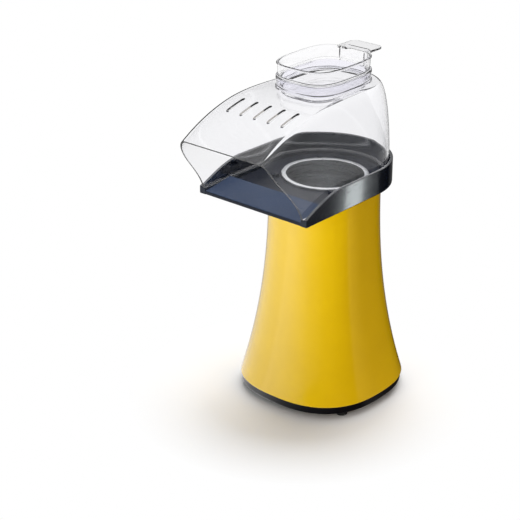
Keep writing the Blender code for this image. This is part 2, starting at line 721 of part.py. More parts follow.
def hood_crease(y):
    """Half-width of the roof: full at the lip, drawn in beside the neck."""
    share = min(max(-y / HOOD_REACH, 0.0), 1.0)
    blend = 0.5 - 0.5 * math.cos(math.pi * min(share / 0.6, 1.0))
    return HOOD_CREASE_WAIST + (HOOD_LIP_HALF_WIDTH - HOOD_CREASE_WAIST) * blend


def hood_columns():
    """Foot and crease points around the hood, from the right corner of its mouth."""
    columns = []
    side_steps = 7
    for i in range(side_steps):
        y = -TRAY_REACH * (1.0 - i / side_steps)
        ahead = max(-HOOD_LEAN_START - y, 0.0) / (TRAY_REACH - HOOD_LEAN_START)
        crease_y = y - (HOOD_REACH - TRAY_REACH) * ahead
        foot = Vector((HOOD_HALF_WIDTH - HOOD_TOE_IN * ahead, y))
        columns.append((foot, Vector((hood_crease(crease_y), crease_y))))
    rear_steps = 14
    for i in range(rear_steps + 1):
        angle = math.pi * i / rear_steps
        way = Vector((math.cos(angle), math.sin(angle)))
        fold = min(min(angle, math.pi - angle) * 1.8, math.pi / 2)
        crease = HOOD_CREASE_WAIST + (HOOD_CREASE_REAR - HOOD_CREASE_WAIST) * math.sin(fold)
        columns.append((way * HOOD_HALF_WIDTH, way * crease))
    for foot, crease in reversed(columns[:side_steps]):
        columns.append((Vector((-foot.x, foot.y)), Vector((-crease.x, crease.y))))
    return columns


def hood_point(foot, crease, turn):
    """A point of the wall's curve; turn goes from the foot (0) to the crease (1)."""
    angle = turn * math.pi / 2
    inwards = 1.0 - max(math.cos(angle), 0.0) ** (2.0 / HOOD_WALL_POWER)
    upwards = math.sin(angle) ** (2.0 / HOOD_WALL_POWER)
    sweep = 0.5 * upwards + 0.25 * (1.0 - math.cos(math.pi * upwards))
    if foot.y < 0.0:
        forwards = sweep
    else:
        forwards = inwards
    x = foot.x + (crease.x - foot.x) * inwards
    y = foot.y + (crease.y - foot.y) * forwards
    return (x, y, HOOD_FOOT + (hood_roof(crease.y) - HOOD_FOOT) * upwards)


def make_hood():
    columns = hood_columns()
    rows = 7
    bm = bmesh.new()
    grid = []
    for foot, crease in columns:
        grid.append([bm.verts.new(hood_point(foot, crease, row / rows)) for row in range(rows + 1)])
    for near, far in zip(grid, grid[1:]):
        for row in range(rows):
            bm.faces.new((near[row], far[row], far[row + 1], near[row + 1]))
    count = len(grid)
    front_columns = sum(1 for foot, crease in columns if foot.y < 0.0) // 2
    for i in range(front_columns):
        bm.faces.new((grid[i][-1], grid[i + 1][-1], grid[count - 2 - i][-1], grid[count - 1 - i][-1]))
    bm.faces.new([column[-1] for column in grid[front_columns:count - front_columns]])
    bmesh.ops.recalc_face_normals(bm, faces=bm.faces)
    crown = max(bm.faces, key=lambda face: face.calc_center_median().z)
    if crown.normal.z < 0.0:
        bmesh.ops.reverse_faces(bm, faces=bm.faces)
    mesh = bpy.data.meshes.new("hood")
    bm.to_mesh(mesh)
    bm.free()
    mesh.shade_smooth()
    mesh.set_sharp_from_angle(angle=math.radians(32.0))
    hood = place("hood", mesh, CLEAR)
    wall = hood.modifiers.new("wall", "SOLIDIFY")
    wall.thickness = HOOD_WALL
    wall.offset = -1.0
    wall.use_even_offset = True
    hole = [neck_ring(NECK_WALL / 2, z) for z in (HOOD_TOP - 8 * MM, HOOD_TOP + 8 * MM)]
    cut(hood, loft("neck_hole", hole))
    vents = []
    for i in range(VENT_COUNT):
        x = (i - (VENT_COUNT - 1) / 2) * VENT_SPACING
        vents.append(slot_outline(x, -VENT_CENTRE, VENT_WIDTH, VENT_LENGTH))
    cut(hood, plates("vents", vents, HOOD_TOP - 30 * MM, HOOD_TOP + 10 * MM))
    overlap = HOOD_TOP - HOOD_WALL * 0.7
    neck = [
        neck_ring(0.0, overlap), neck_ring(-NECK_BEAD, HOOD_TOP - HOOD_WALL * 0.2),
        neck_ring(-NECK_BEAD, HOOD_TOP + 1.2 * MM), neck_ring(0.0, HOOD_TOP + 2.2 * MM),
        neck_ring(0.0, NECK_TOP - 2.0 * MM), neck_ring(-NECK_BEAD * 0.6, NECK_TOP - 1.4 * MM),
        neck_ring(-NECK_BEAD * 0.6, NECK_TOP), neck_ring(NECK_WALL, NECK_TOP),
        neck_ring(NECK_WALL, overlap),
    ]
    fuse(hood, loft("neck", neck, hollow=True))
    return hood


# ---------------------------------------------------------------- measuring cup


def make_measuring_cup():
    hang = NECK_WALL + SLIDE_GAP + 0.5 * MM
    bottom = CUP_FLANGE_BOTTOM - CUP_DEPTH
    shell = [
        neck_ring(hang + CUP_DRAFT + 2 * MM, bottom),
        neck_ring(hang + CUP_DRAFT, bottom + 2 * MM),
        neck_ring(hang, CUP_FLANGE_BOTTOM),
        neck_ring(-0.7 * MM, CUP_FLANGE_BOTTOM),
        neck_ring(-0.7 * MM, CUP_FLANGE_TOP),
        neck_ring(0.9 * MM, CUP_FLANGE_TOP),
        neck_ring(0.5 * MM, CUP_TOP - CUP_RIM),
        neck_ring(-0.4 * MM, CUP_TOP - CUP_RIM * 0.7),
        neck_ring(-0.4 * MM, CUP_TOP),
    ]
    cup = loft("measuring_cup", shell, CLEAR)
    handle_low = CUP_TOP - HANDLE_THICKNESS
    start = NECK_CENTRE + NECK_HALF_LENGTH - 4 * MM
    tab = tab_outline(HANDLE_HALF_WIDTH, start, HANDLE_REACH, 7 * MM)
    fuse(cup, plates("handle_tab", [tab], handle_low, CUP_TOP - GAP))
    web = 2.0 * MM
    outer, reach = HANDLE_WEB_HALF_WIDTH, HANDLE_WEB_REACH
    web_outline = [
        (-outer, start), (-outer, reach), (outer, reach), (outer, start),
        (outer - web, start), (outer - web, reach - web), (web - outer, reach - web),
        (web - outer, start),
    ]
    fuse(cup, plates("handle_web", [web_outline], CUP_FLANGE_TOP - 1 * MM, handle_low + 1 * MM))
    wall = CUP_WALL
    cavity = [
        neck_ring(hang + CUP_DRAFT + wall, bottom + wall),
        neck_ring(hang + wall, CUP_FLANGE_BOTTOM - 0.5 * MM),
        neck_ring(0.9 * MM + wall, CUP_FLANGE_TOP + 0.5 * MM),
        neck_ring(0.5 * MM + wall, CUP_TOP + 5 * MM),
    ]
    cut(cup, loft("cup_cavity", cavity))
    return cup


# ---------------------------------------------------------------- hot-air core


def make_popping_chamber():
    inner = CHAMBER_RADIUS - CHAMBER_WALL
    rim_top = CHAMBER_RIM_BOTTOM + CHAMBER_RIM_HEIGHT
    rim = CHAMBER_RADIUS + CHAMBER_RIM
    profile = [
        (0.0, CHAMBER_BOTTOM + CHAMBER_CONE + CHAMBER_WALL),
        (inner - 3 * MM, CHAMBER_BOTTOM + CHAMBER_WALL),
        (inner, CHAMBER_BOTTOM + 3 * MM),
        (inner, rim_top - 1.0 * MM), (inner + 1.2 * MM, rim_top),
        (rim - 1.0 * MM, rim_top), (rim, rim_top - 0.8 * MM),
        (rim, CHAMBER_RIM_BOTTOM), (CHAMBER_RADIUS, CHAMBER_RIM_BOTTOM),
        (CHAMBER_RADIUS, CHAMBER_BOTTOM + 2 * MM), (CHAMBER_RADIUS - 3 * MM, CHAMBER_BOTTOM),
        (0.0, CHAMBER_BOTTOM + CHAMBER_CONE),
    ]
    chamber = turned("popping_chamber", profile, 32, ALUMINIUM)
    middle = CHAMBER_BOTTOM + 5 * MM + LOUVRE_HEIGHT / 2
    size = (8 * MM, LOUVRE_WIDTH, LOUVRE_HEIGHT)
    louvres = []
    for x, y, angle in around(LOUVRE_COUNT, CHAMBER_RADIUS - CHAMBER_WALL / 2):
        spot = Matrix.Translation((x, y, middle)) @ Matrix.Rotation(angle + LOUVRE_SKEW, 4, "Z")
        louvres.append((size, spot))
    cut(chamber, boxes("louvres", louvres))
    return chamber


DUCT_SCREW_SPREAD = DUCT_RADIUS + DUCT_FLANGE - SCREW_HEAD_RADIUS
DUCT_SCREW_SPOTS = [(x, y) for x, y, angle in around(3, DUCT_SCREW_SPREAD, math.pi / 6)]


def make_heater_duct():
    flange = DUCT_RADIUS + DUCT_FLANGE
    profile = [
        (DUCT_RADIUS, DUCT_TOP), (DUCT_RADIUS, DUCT_BOTTOM + DUCT_SHEET),
        (flange, DUCT_BOTTOM + DUCT_SHEET), (flange, DUCT_BOTTOM),
        (DUCT_RADIUS - DUCT_WALL, DUCT_BOTTOM), (DUCT_RADIUS - DUCT_WALL, DUCT_TOP),
    ]
    duct = turned("heater_duct", profile, 28, STEEL, closed=True)
    ears = []
    start = DUCT_RADIUS - DUCT_WALL * 0.7
    size = (EAR_REACH - start, EAR_WIDTH, DUCT_SHEET)
    for x, y, angle in around(4, (EAR_REACH + start) / 2, math.pi / 4):
        spot = Matrix.Translation((x, y, DUCT_TOP - DUCT_SHEET / 2))
        ears.append((size, spot @ Matrix.Rotation(angle, 4, "Z")))
    fuse(duct, boxes("duct_ears", ears))
    cut(duct, upright_rods("ear_holes", EAR_SPOTS, SCREW_RADIUS + BORE_GAP,
                           DUCT_TOP - 3 * MM, DUCT_TOP + 3 * MM, 12))
    cut(duct, upright_rods("duct_flange_holes", DUCT_SCREW_SPOTS, SCREW_RADIUS + BORE_GAP,
                           DUCT_BOTTOM - 3 * MM, DUCT_BOTTOM + 3 * MM, 12))
    return duct


def make_fan_housing():
    flange = DUCT_RADIUS + DUCT_FLANGE
    floor_top = FAN_BOWL_BOTTOM + DUCT_SHEET
    inner = DUCT_RADIUS - DUCT_WALL
    hub_hole = BUSH_RADIUS + SLIDE_GAP
    profile = [
        (flange, FAN_BOWL_TOP), (flange, FAN_BOWL_TOP - DUCT_SHEET),
        (DUCT_RADIUS, FAN_BOWL_TOP - DUCT_SHEET), (DUCT_RADIUS, FAN_BOWL_BOTTOM + 2 * MM),
        (DUCT_RADIUS - 2 * MM, FAN_BOWL_BOTTOM), (hub_hole, FAN_BOWL_BOTTOM),
        (hub_hole, floor_top), (inner - 1.6 * MM, floor_top),
        (inner, floor_top + 1.6 * MM), (inner, FAN_BOWL_TOP),
    ]
    bowl = turned("fan_housing", profile, 30, ALUMINIUM, closed=True)
    inlets = [(x, y) for x, y, angle in around(INLET_HOLES, INLET_SPREAD, math.pi / 6)]
    low, high = FAN_BOWL_BOTTOM - 3 * MM, FAN_BOWL_BOTTOM + 3 * MM
    cut(bowl, upright_rods("inlet_holes", inlets, INLET_RADIUS, low, high, 14))
    cut(bowl, upright_rods("bowl_motor_holes", MOTOR_SCREW_SPOTS, SCREW_RADIUS + BORE_GAP,
                           low, high, 12))
    cut(bowl, upright_rods("bowl_flange_holes", DUCT_SCREW_SPOTS, SCREW_RADIUS + BORE_GAP,
                           FAN_BOWL_TOP - 3 * MM, FAN_BOWL_TOP + 3 * MM, 12))
    return bowl


def make_duct_screws():
    head = FAN_BOWL_TOP - DUCT_SHEET - GAP
    for number, (x, y) in enumerate(DUCT_SCREW_SPOTS, start=1):
        screw("duct_screw_%d" % number, x, y, head, DUCT_SCREW_LENGTH, STEEL)


def make_fan_impeller():
    disc_bottom = FAN_BLADE_BOTTOM + FAN_BLADE_HEIGHT
    disc_top = disc_bottom + 1.2 * MM
    bore = SHAFT_RADIUS + BORE_GAP
    profile = [
        (FAN_RADIUS, disc_top), (FAN_RADIUS, disc_bottom), (FAN_HUB_RADIUS, disc_bottom),
        (FAN_HUB_RADIUS, FAN_BLADE_BOTTOM - 2 * MM), (bore, FAN_BLADE_BOTTOM - 2 * MM),
        (bore, disc_top),
    ]
    wheel = turned("fan_impeller", profile, 24, ALUMINIUM, closed=True)
    blades = []
    length = FAN_RADIUS * 0.6
    size = (length, 1.2 * MM, FAN_BLADE_HEIGHT)
    middle = FAN_BLADE_BOTTOM + FAN_BLADE_HEIGHT / 2 + 0.5 * MM
    for x, y, angle in around(FAN_BLADES, FAN_RADIUS * 0.62):
        spot = Matrix.Translation((x, y, middle)) @ Matrix.Rotation(angle - math.radians(28), 4, "Z")
        blades.append((size, spot))
    fuse(wheel, boxes("fan_blades", blades))
    return wheel


def make_mica_frame():
    """Two mica plates, slotted into each other across the duct."""
    half = DUCT_RADIUS - DUCT_WALL - SLIDE_GAP
    half_thick = MICA_THICKNESS / 2
    middle = MICA_BOTTOM + MICA_HEIGHT / 2
    top = MICA_BOTTOM + MICA_HEIGHT
    slot = half_thick + GAP
    for name, across in (("mica_plate_a", False), ("mica_plate_b", True)):
        reach = (half, half_thick) if not across else (half_thick, half)
        plate = box(name, (-reach[0], -reach[1], MICA_BOTTOM), (reach[0], reach[1], top), MICA)
        if across:
            low, high = MICA_BOTTOM - 1 * MM, middle + GAP / 2
        else:
            low, high = middle - GAP / 2, top + 1 * MM
        cut(plate, box(name + "_slot", (-slot, -slot, low), (slot, slot, high)))
        holes = []
        for side in (-1, 1):
            spot = Vector((side * COIL_RING_RADIUS, 0.0, COIL_HEIGHT))
            turn = Matrix.Rotation(math.pi / 2, 4, "X")
            if across:
                spot = Vector((0.0, side * COIL_RING_RADIUS, COIL_HEIGHT))
                turn = Matrix.Rotation(math.pi / 2, 4, "Y")
            radius = COIL_RADIUS + COIL_WIRE_RADIUS + 1.0 * MM
            holes.append((radius, 10 * MM, Matrix.Translation(spot) @ turn))
        cut(plate, rods(name + "_holes", holes, 14))


def make_heater_coil():
    points = []
    per_turn = 8
    count = COIL_TURNS * per_turn
    start, sweep = math.radians(50.0), math.radians(350.0)
    for i in range(count + 1):
        around_ring = start + sweep * i / count
        around_wire = math.tau * COIL_TURNS * i / count
        reach = COIL_RING_RADIUS + COIL_RADIUS * math.cos(around_wire)
        points.append((reach * math.cos(around_ring), reach * math.sin(around_ring),
                       COIL_HEIGHT + COIL_RADIUS * math.sin(around_wire)))
    wire("heater_coil", points, COIL_WIRE_RADIUS, NICHROME)


# ---------------------------------------------------------------- motor

MOTOR_SCREW_SPOTS = [(-MOTOR_SCREW_SPREAD, 0.0), (MOTOR_SCREW_SPREAD, 0.0)]
CAP_TOP = MOTOR_BOTTOM - GAP
CAP_BOTTOM = CAP_TOP - MOTOR_CAP
CAP_LIP = 2.3 * MM


def ring(name, outer, inner, low, high, segments, look):
    profile = [(outer, high), (outer, low), (inner, low), (inner, high)]
    return turned(name, profile, segments, look, closed=True)


def make_motor():
    bore = SHAFT_RADIUS + BORE_GAP
    seat = BUSH_RADIUS + GAP
    inner = MOTOR_RADIUS - MOTOR_WALL
    roof = MOTOR_TOP - 1.6 * MM
    can_profile = [
        (MOTOR_RADIUS, MOTOR_TOP), (MOTOR_RADIUS, MOTOR_BOTTOM), (inner, MOTOR_BOTTOM),
        (inner, roof), (seat, roof), (seat, MOTOR_TOP),
    ]
    can = turned("motor_can", can_profile, 24, STEEL, closed=True)
    cut(can, upright_rods("can_screw_holes", MOTOR_SCREW_SPOTS, SCREW_RADIUS + BORE_GAP,
                          roof - 2 * MM, MOTOR_TOP + 2 * MM, 12))
    cap_profile = [
        (inner - GAP, CAP_TOP + CAP_LIP), (inner - GAP, CAP_TOP), (MOTOR_RADIUS, CAP_TOP),
        (MOTOR_RADIUS, CAP_BOTTOM), (seat, CAP_BOTTOM), (seat, CAP_TOP + CAP_LIP),
    ]
    turned("motor_end_cap", cap_profile, 24, BLACK, closed=True)
    ring("motor_front_bush", BUSH_RADIUS, bore, roof - 2 * MM, FAN_BOWL_BOTTOM + DUCT_SHEET, 16, BRASS)
    ring("motor_rear_bush", BUSH_RADIUS, bore, CAP_BOTTOM + 0.5 * MM, CAP_TOP + CAP_LIP, 16, BRASS)
    commutator_bottom = CAP_TOP + CAP_LIP + 1.5 * MM
    commutator_top = commutator_bottom + COMMUTATOR_LENGTH
    ring("motor_commutator", COMMUTATOR_RADIUS, bore, commutator_bottom, commutator_top, 16, COPPER)
    armature_bottom = commutator_top + GAP
    armature_top = armature_bottom + ARMATURE_LENGTH
    armature = ring("motor_armature", ARMATURE_RADIUS, bore, armature_bottom, armature_top, 20, STEEL)
    slots = []
    size = (5 * MM, 1.6 * MM, ARMATURE_LENGTH + 4 * MM)
    for x, y, angle in around(5, ARMATURE_RADIUS):
        spot = Matrix.Translation((x, y, (armature_bottom + armature_top) / 2))
        slots.append((size, spot @ Matrix.Rotation(angle, 4, "Z")))
    cut(armature, boxes("armature_slots", slots))
    shaft_bottom = CAP_BOTTOM - 3 * MM
    shaft_top = FAN_BLADE_BOTTOM + FAN_BLADE_HEIGHT + 3 * MM
    upright_rods("motor_shaft", [(0.0, 0.0)], SHAFT_RADIUS, shaft_bottom, shaft_top, 14, STEEL)
    outer = inner - GAP
    steps = 8
    for number, middle in ((1, 0.0), (2, math.pi)):
        span = math.radians(120.0)
        angles = [middle + math.pi / 2 - span / 2 + span * i / steps for i in range(steps + 1)]
        arc = [(outer * math.cos(a), outer * math.sin(a)) for a in angles]
        deep = outer - MAGNET_THICKNESS
        arc += [(deep * math.cos(a), deep * math.sin(a)) for a in reversed(angles)]
        plates("motor_magnet_%d" % number, [arc], armature_bottom - 1 * MM,
               armature_top + 1 * MM, MAGNET)
    head = FAN_BOWL_BOTTOM + DUCT_SHEET + GAP
    for number, (x, y) in enumerate(MOTOR_SCREW_SPOTS, start=1):
        screw("motor_screw_%d" % number, x, y, head, MOTOR_SCREW_LENGTH, STEEL, downwards=True)


# ---------------------------------------------------------------- electrics


def make_switch(shell):
    seat = wall_seat("switch_seat", SWITCH_HEIGHT)
    half_x, half_y = SWITCH_WIDTH / 2, SWITCH_TALL / 2
    edge = 1.2 * MM
    wall_cut = box("switch_window", (-half_x - GAP, -half_y - GAP, -10 * MM),
                   (half_x + GAP, half_y + GAP, 5 * MM), parent=seat)
    cut(shell, wall_cut)
    body = box("switch_body", (-half_x, -half_y, -SWITCH_DEPTH), (half_x, half_y, 1.0 * MM),
               BLACK, seat)
    bezel = box("switch_bezel", (-half_x - edge, -half_y - edge, SLIDE_GAP),
                (half_x + edge, half_y + edge, SLIDE_GAP + SWITCH_BEZEL), parent=seat)
    fuse(body, bezel)
    well_x, well_y = ROCKER_WIDTH / 2 + GAP, ROCKER_TALL / 2 + 2 * GAP
    well = box("switch_well", (-well_x, -well_y, -ROCKER_DEPTH - 3 * MM),
               (well_x, well_y, 10 * MM), parent=seat)
    cut(body, well)
    pivot_depth = ROCKER_DEPTH * 0.45
    pin_turn = Matrix.Translation((0.0, 0.0, -pivot_depth)) @ Matrix.Rotation(math.pi / 2, 4, "Y")
    pin_reach = SWITCH_WIDTH - 0.8 * MM
    cut(body, rods("pin_holes", [(1.3 * MM, pin_reach + 4 * MM, pin_turn)], 12, parent=seat))
    blades = []
    for side in (-1, 1):
        spot = Matrix.Translation((0.0, side * SWITCH_TALL / 4, -SWITCH_DEPTH - 2.5 * MM))
        blades.append(((4 * MM, 0.8 * MM, 7 * MM), spot))
    fuse(body, boxes("switch_blades", blades, parent=seat))
    half_tall, half_wide = ROCKER_TALL / 2, ROCKER_WIDTH / 2
    crest, waist = 1.9 * MM, 0.7 * MM
    profile = [
        (-half_tall, crest), (0.0, waist), (half_tall, crest),
        (half_tall - 1.2 * MM, -ROCKER_DEPTH * 0.5), (0.0, -ROCKER_DEPTH * 0.6),
        (-half_tall + 1.2 * MM, -ROCKER_DEPTH * 0.5),
    ]
    rocker = plates("switch_rocker", [profile], -half_wide, half_wide, RED, SIDE_PROFILE, seat)
    pins = rods("rocker_pins", [(1.0 * MM, pin_reach, Matrix.Rotation(math.pi / 2, 4, "Y"))],
                12, parent=rocker)
    fuse(rocker, pins)
    rocker.location = (0.0, 0.0, -pivot_depth)
    rocker.rotation_euler = (ROCKER_TILT, 0.0, 0.0)


def make_cord_grommet(shell):
    seat = wall_seat("grommet_seat", GROMMET_HEIGHT)
    flange = GROMMET_RADIUS + GROMMET_FLANGE
    inner_lip = GROMMET_RADIUS + 1.2 * MM
    behind = -HOUSING_WALL - SLIDE_GAP
    profile = [
        (GROMMET_BORE + 1.2 * MM, 4.5 * MM), (flange - 1.0 * MM, 3.0 * MM), (flange, 2.0 * MM),
        (flange, SLIDE_GAP), (GROMMET_RADIUS, SLIDE_GAP), (GROMMET_RADIUS, behind),
        (inner_lip, behind), (inner_lip - 0.6 * MM, behind - 2 * MM),
        (GROMMET_BORE, behind - 2 * MM), (GROMMET_BORE, 4.5 * MM),
    ]
    turned("cord_grommet", profile, 16, RUBBER, closed=True, parent=seat)
    hole = (GROMMET_RADIUS + GAP, 20 * MM, Matrix.Identity(4))
    cut(shell, rods("grommet_hole", [hole], 20, parent=seat))


def make_thermostat():
    """A bimetal thermostat against the rear of the duct."""
    turn = Matrix.Rotation(-math.pi / 2, 4, "X")
    seat = bpy.data.objects.new("thermostat_seat", None)
    PARTS.objects.link(seat)
    seat.parent = AXIS
    seat.matrix_local = Matrix.Translation((0.0, DUCT_RADIUS + GAP, COIL_HEIGHT)) @ turn
    profile = [
        (0.0, 4.6 * MM), (4.5 * MM, 4.6 * MM), (6.0 * MM, 3.6 * MM), (6.0 * MM, 2.0 * MM),
        (7.2 * MM, 2.0 * MM), (7.2 * MM, 0.0), (0.0, 0.0),
    ]
    cap = turned("thermostat", profile, 18, BLACK, parent=seat)
    blades = []
    for side in (-1, 1):
        spot = Matrix.Translation((side * 8.0 * MM, 0.0, 3.0 * MM))
        blades.append(((7.0 * MM, 4.0 * MM, 0.8 * MM), spot))
    fuse(cap, boxes("thermostat_blades", blades, parent=seat))


def make_thermal_fuse():
    """A one-shot fuse with its two leads, upright beside the duct."""
    body, lead = 2.0 * MM, 0.5 * MM
    middle = COIL_HEIGHT
    half_body, half_all = 5.5 * MM, 14.0 * MM
    profile = [
        (0.0, middle + half_all), (lead, middle + half_all), (lead, middle + half_body),
        (body, middle + half_body - 1 * MM), (body, middle - half_body), (lead, middle - half_body),
        (lead, middle - half_all), (0.0, middle - half_all),
    ]
    fuse_link = turned("thermal_fuse", profile, 12, STEEL)
    fuse_link.location = (DUCT_RADIUS + body + SLIDE_GAP, 0.0, 0.0)


def make_rectifier_board():
    half_x, half_y = BOARD_SIZE[0] / 2, BOARD_SIZE[1] / 2
    top = BOARD_BOTTOM + BOARD_SIZE[2]
    board = box("rectifier_board", (-half_x, BOARD_Y - half_y, BOARD_BOTTOM),
                (half_x, BOARD_Y + half_y, top), BOARD)
    diodes = []
    radius = 1.5 * MM
    for row in (-1, 1):
        for side in (-1, 1):
            spot = Vector((side * half_x * 0.5, BOARD_Y + row * half_y * 0.4, top + radius * 0.7))
            diodes.append((radius, 6 * MM, Matrix.Translation(spot) @ Matrix.Rotation(math.pi / 2, 4, "Y")))
    fuse(board, rods("diodes", diodes, 10))


def make_leads():
    """The low-voltage leads between the board, the motor and the switch."""
    board_top = BOARD_BOTTOM + BOARD_SIZE[2]
    rear_edge = BOARD_Y + BOARD_SIZE[1] / 2
    lift = board_top + GAP + LEAD_RADIUS
    under_cap = CAP_BOTTOM - GAP - LEAD_RADIUS
    for name, side, look in (("motor_lead_1", -1, LEAD_RED), ("motor_lead_2", 1, LEAD_BLACK)):
        route = [
            (side * 8 * MM, rear_edge - 2 * MM, lift),
            (side * 9 * MM, rear_edge + 6 * MM, lift + 1 * MM),
            (side * 11 * MM, rear_edge + 20 * MM, lift + 1 * MM),
            (side * 11 * MM, -14 * MM, under_cap - 7 * MM),
            (side * 10 * MM, -9 * MM, under_cap),
        ]
        wire(name, through_points(route, 2), LEAD_RADIUS, look)
    wall = housing_radius(SWITCH_HEIGHT)
    route = [
        (-4 * MM, wall - SWITCH_DEPTH - 16 * MM, SWITCH_HEIGHT - 5 * MM),
        (-14 * MM, wall - SWITCH_DEPTH - 18 * MM, SWITCH_HEIGHT - 18 * MM),
        (-30 * MM, 22 * MM, 30 * MM), (-36 * MM, -6 * MM, 22 * MM),
        (-30 * MM, rear_edge + 4 * MM, lift + 2 * MM),
        (-14 * MM, rear_edge - 1 * MM, lift + 0.5 * MM),
    ]
    wire("switch_lead", through_points(route, 3), LEAD_RADIUS, LEAD_WHITE)


housing = make_housing()
make_switch(housing)
make_cord_grommet(housing)
make_base_plate()
make_feet()
make_base_screws()
make_chute_tray()
make_tray_screws()
make_hood()
make_measuring_cup()
make_popping_chamber()
make_heater_duct()
make_fan_housing()
make_duct_screws()
make_fan_impeller()
make_mica_frame()
make_heater_coil()
make_motor()
make_thermostat()
make_thermal_fuse()
make_rectifier_board()
make_leads()
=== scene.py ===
"""Looks of a hot-air popcorn maker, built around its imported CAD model.

Metres, +Z up. Every new piece is shaped about the upright axis of the body and
then set on the axis that the CAD model gives.
"""
import math

import bmesh
import bpy
from mathutils import Matrix, Vector


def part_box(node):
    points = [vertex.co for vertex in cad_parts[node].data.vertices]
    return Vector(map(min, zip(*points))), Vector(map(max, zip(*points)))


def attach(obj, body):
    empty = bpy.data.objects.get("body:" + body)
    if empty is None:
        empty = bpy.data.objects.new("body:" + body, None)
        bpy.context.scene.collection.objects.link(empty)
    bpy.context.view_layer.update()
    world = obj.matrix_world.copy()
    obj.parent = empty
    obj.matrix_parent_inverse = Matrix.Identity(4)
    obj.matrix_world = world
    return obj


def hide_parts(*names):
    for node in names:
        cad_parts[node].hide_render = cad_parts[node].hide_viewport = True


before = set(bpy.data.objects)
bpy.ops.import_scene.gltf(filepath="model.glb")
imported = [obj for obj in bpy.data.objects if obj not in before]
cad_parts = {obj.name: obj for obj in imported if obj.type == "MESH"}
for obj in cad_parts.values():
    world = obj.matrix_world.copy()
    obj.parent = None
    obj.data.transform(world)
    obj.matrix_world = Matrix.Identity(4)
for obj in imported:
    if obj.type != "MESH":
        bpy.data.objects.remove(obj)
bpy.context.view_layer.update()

MM = 0.001


def node_span(name, axis):
    low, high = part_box(name)
    return low[axis], high[axis]


def node_middle(name, axis):
    low, high = node_span(name, axis)
    return (low + high) / 2


AXIS_Y = node_middle("motor_shaft", 1)

# ---------------------------------------------------------------- sizes from the frame
HOUSING_TOP = node_span("housing", 2)[1]
PLATE_BOTTOM = node_span("base_plate", 2)[0]
PLATE_EDGE_HEIGHT = 9.0 * MM
HOUSING_BOTTOM = PLATE_BOTTOM + PLATE_EDGE_HEIGHT
HOOD_FOOT, NECK_TOP = node_span("hood", 2)
CUP_BOTTOM, CUP_TOP = node_span("measuring_cup", 2)
CHAMBER_BOTTOM = node_span("popping_chamber", 2)[0]
FOOT_SPOTS = [(node_middle(name, 0), node_middle(name, 1) - AXIS_Y)
              for name in ("foot_1", "foot_2", "foot_3", "foot_4")]

GAP = 0.3 * MM          # between faces that touch
SLIDE_GAP = 0.5 * MM    # round a piece that lifts out
SHARP_CORNER = 34.0     # degrees between two faces that makes their edge sharp

# housing
HOUSING_SECTION = 2.5
HOUSING_TOP_RADIUS = 56.0 * MM
HOUSING_FLARE = 28.6 * MM
HOUSING_FLARE_POWER = 2.25
HOUSING_STRAIGHT = 8.5 * MM
HOUSING_WALL = 2.4 * MM
HOUSING_EDGE = 1.2 * MM
HOUSING_FLARE_TOP = HOUSING_TOP - HOUSING_STRAIGHT
BASE_RADIUS = HOUSING_TOP_RADIUS + HOUSING_FLARE
BOSS_RADIUS = 4.5 * MM
BOSS_TOP = 44.0 * MM
DIAGONAL = 2.0 ** (0.5 - 1.0 / HOUSING_SECTION)    # reach of a rounded square at its corners

# base
PLATE_FLOOR = 2.5 * MM
PLATE_TOP = PLATE_BOTTOM + PLATE_FLOOR
PLATE_INSET = 1.6 * MM
PLATE_RIM_RISE = 5.0 * MM
PLATE_RIM_WALL = 2.0 * MM
PLATE_EDGE = 1.5 * MM
FOOT_HEIGHT = 4.7 * MM
FOOT_RADIUS = 6.2 * MM
FOOT_STEM_RADIUS = 2.1 * MM
FOOT_BULB_RADIUS = 2.9 * MM
SCREW_RADIUS = 1.5 * MM
SCREW_HEAD_RADIUS = 2.8 * MM
PILOT_RADIUS = SCREW_RADIUS + 0.25 * MM
PILOT_DEPTH = 17.0 * MM

AIR_SLOT_COUNT = 16
AIR_SLOT_CENTRE = 33.0 * MM
AIR_SLOT_HALF_LENGTH = 11.5 * MM
AIR_SLOT_RADIUS = 1.5 * MM

# chute tray
TRAY_BOTTOM = HOUSING_TOP + GAP
TRAY_HALF_WIDTH = 71.5 * MM
TRAY_REACH = 118.0 * MM
TRAY_WALL = 3.2 * MM
TRAY_KEY = 0.4 * MM
TRAY_FLOOR = 3.2 * MM
TRAY_FLOOR_TOP = TRAY_BOTTOM + TRAY_FLOOR
LEDGE_TOP = TRAY_BOTTOM + 7.4 * MM
TRAY_BAND_HEIGHT = 26.2 * MM
TRAY_BAND_LOW = 8.2 * MM
TRAY_BAND_RISE = 61.0 * MM
TRAY_LIP_HEIGHT = 4.2 * MM
TRAY_RIDGE_HEIGHT = 9.2 * MM
TRAY_RIDGE = 78.0 * MM
TRAY_SKIN = 3.0 * MM
SPIGOT_DEPTH = 7.5 * MM
SPIGOT_WALL = 1.3 * MM

# hood
HOOD_WALL = 2.2 * MM
HOOD_REACH = 162.0 * MM
HOOD_LIP_HALF_WIDTH = 49.5 * MM
HOOD_LIP_DROP = 32.6 * MM
HOOD_DROP_START = 25.0 * MM
HOOD_DROP_POWER = 2.7
HOOD_HEIGHT = 99.3 * MM
HOOD_WALL_POWER = 2.2
HOOD_CREASE_WAIST = 42.5 * MM
HOOD_CREASE_REAR = 54.0 * MM
HOOD_LEAN_START = 20.0 * MM
HOOD_TOE_IN = 1.0 * MM
HOOD_HALF_WIDTH = TRAY_HALF_WIDTH - TRAY_WALL - SLIDE_GAP
HOOD_TOP = HOOD_FOOT + HOOD_HEIGHT
VENT_COUNT = 5
VENT_WIDTH = 3.6 * MM
VENT_LENGTH = 27.0 * MM
VENT_SPACING = 17.8 * MM
VENT_CENTRE = 101.0 * MM
VENT_BAND = VENT_SPACING * VENT_COUNT / 2

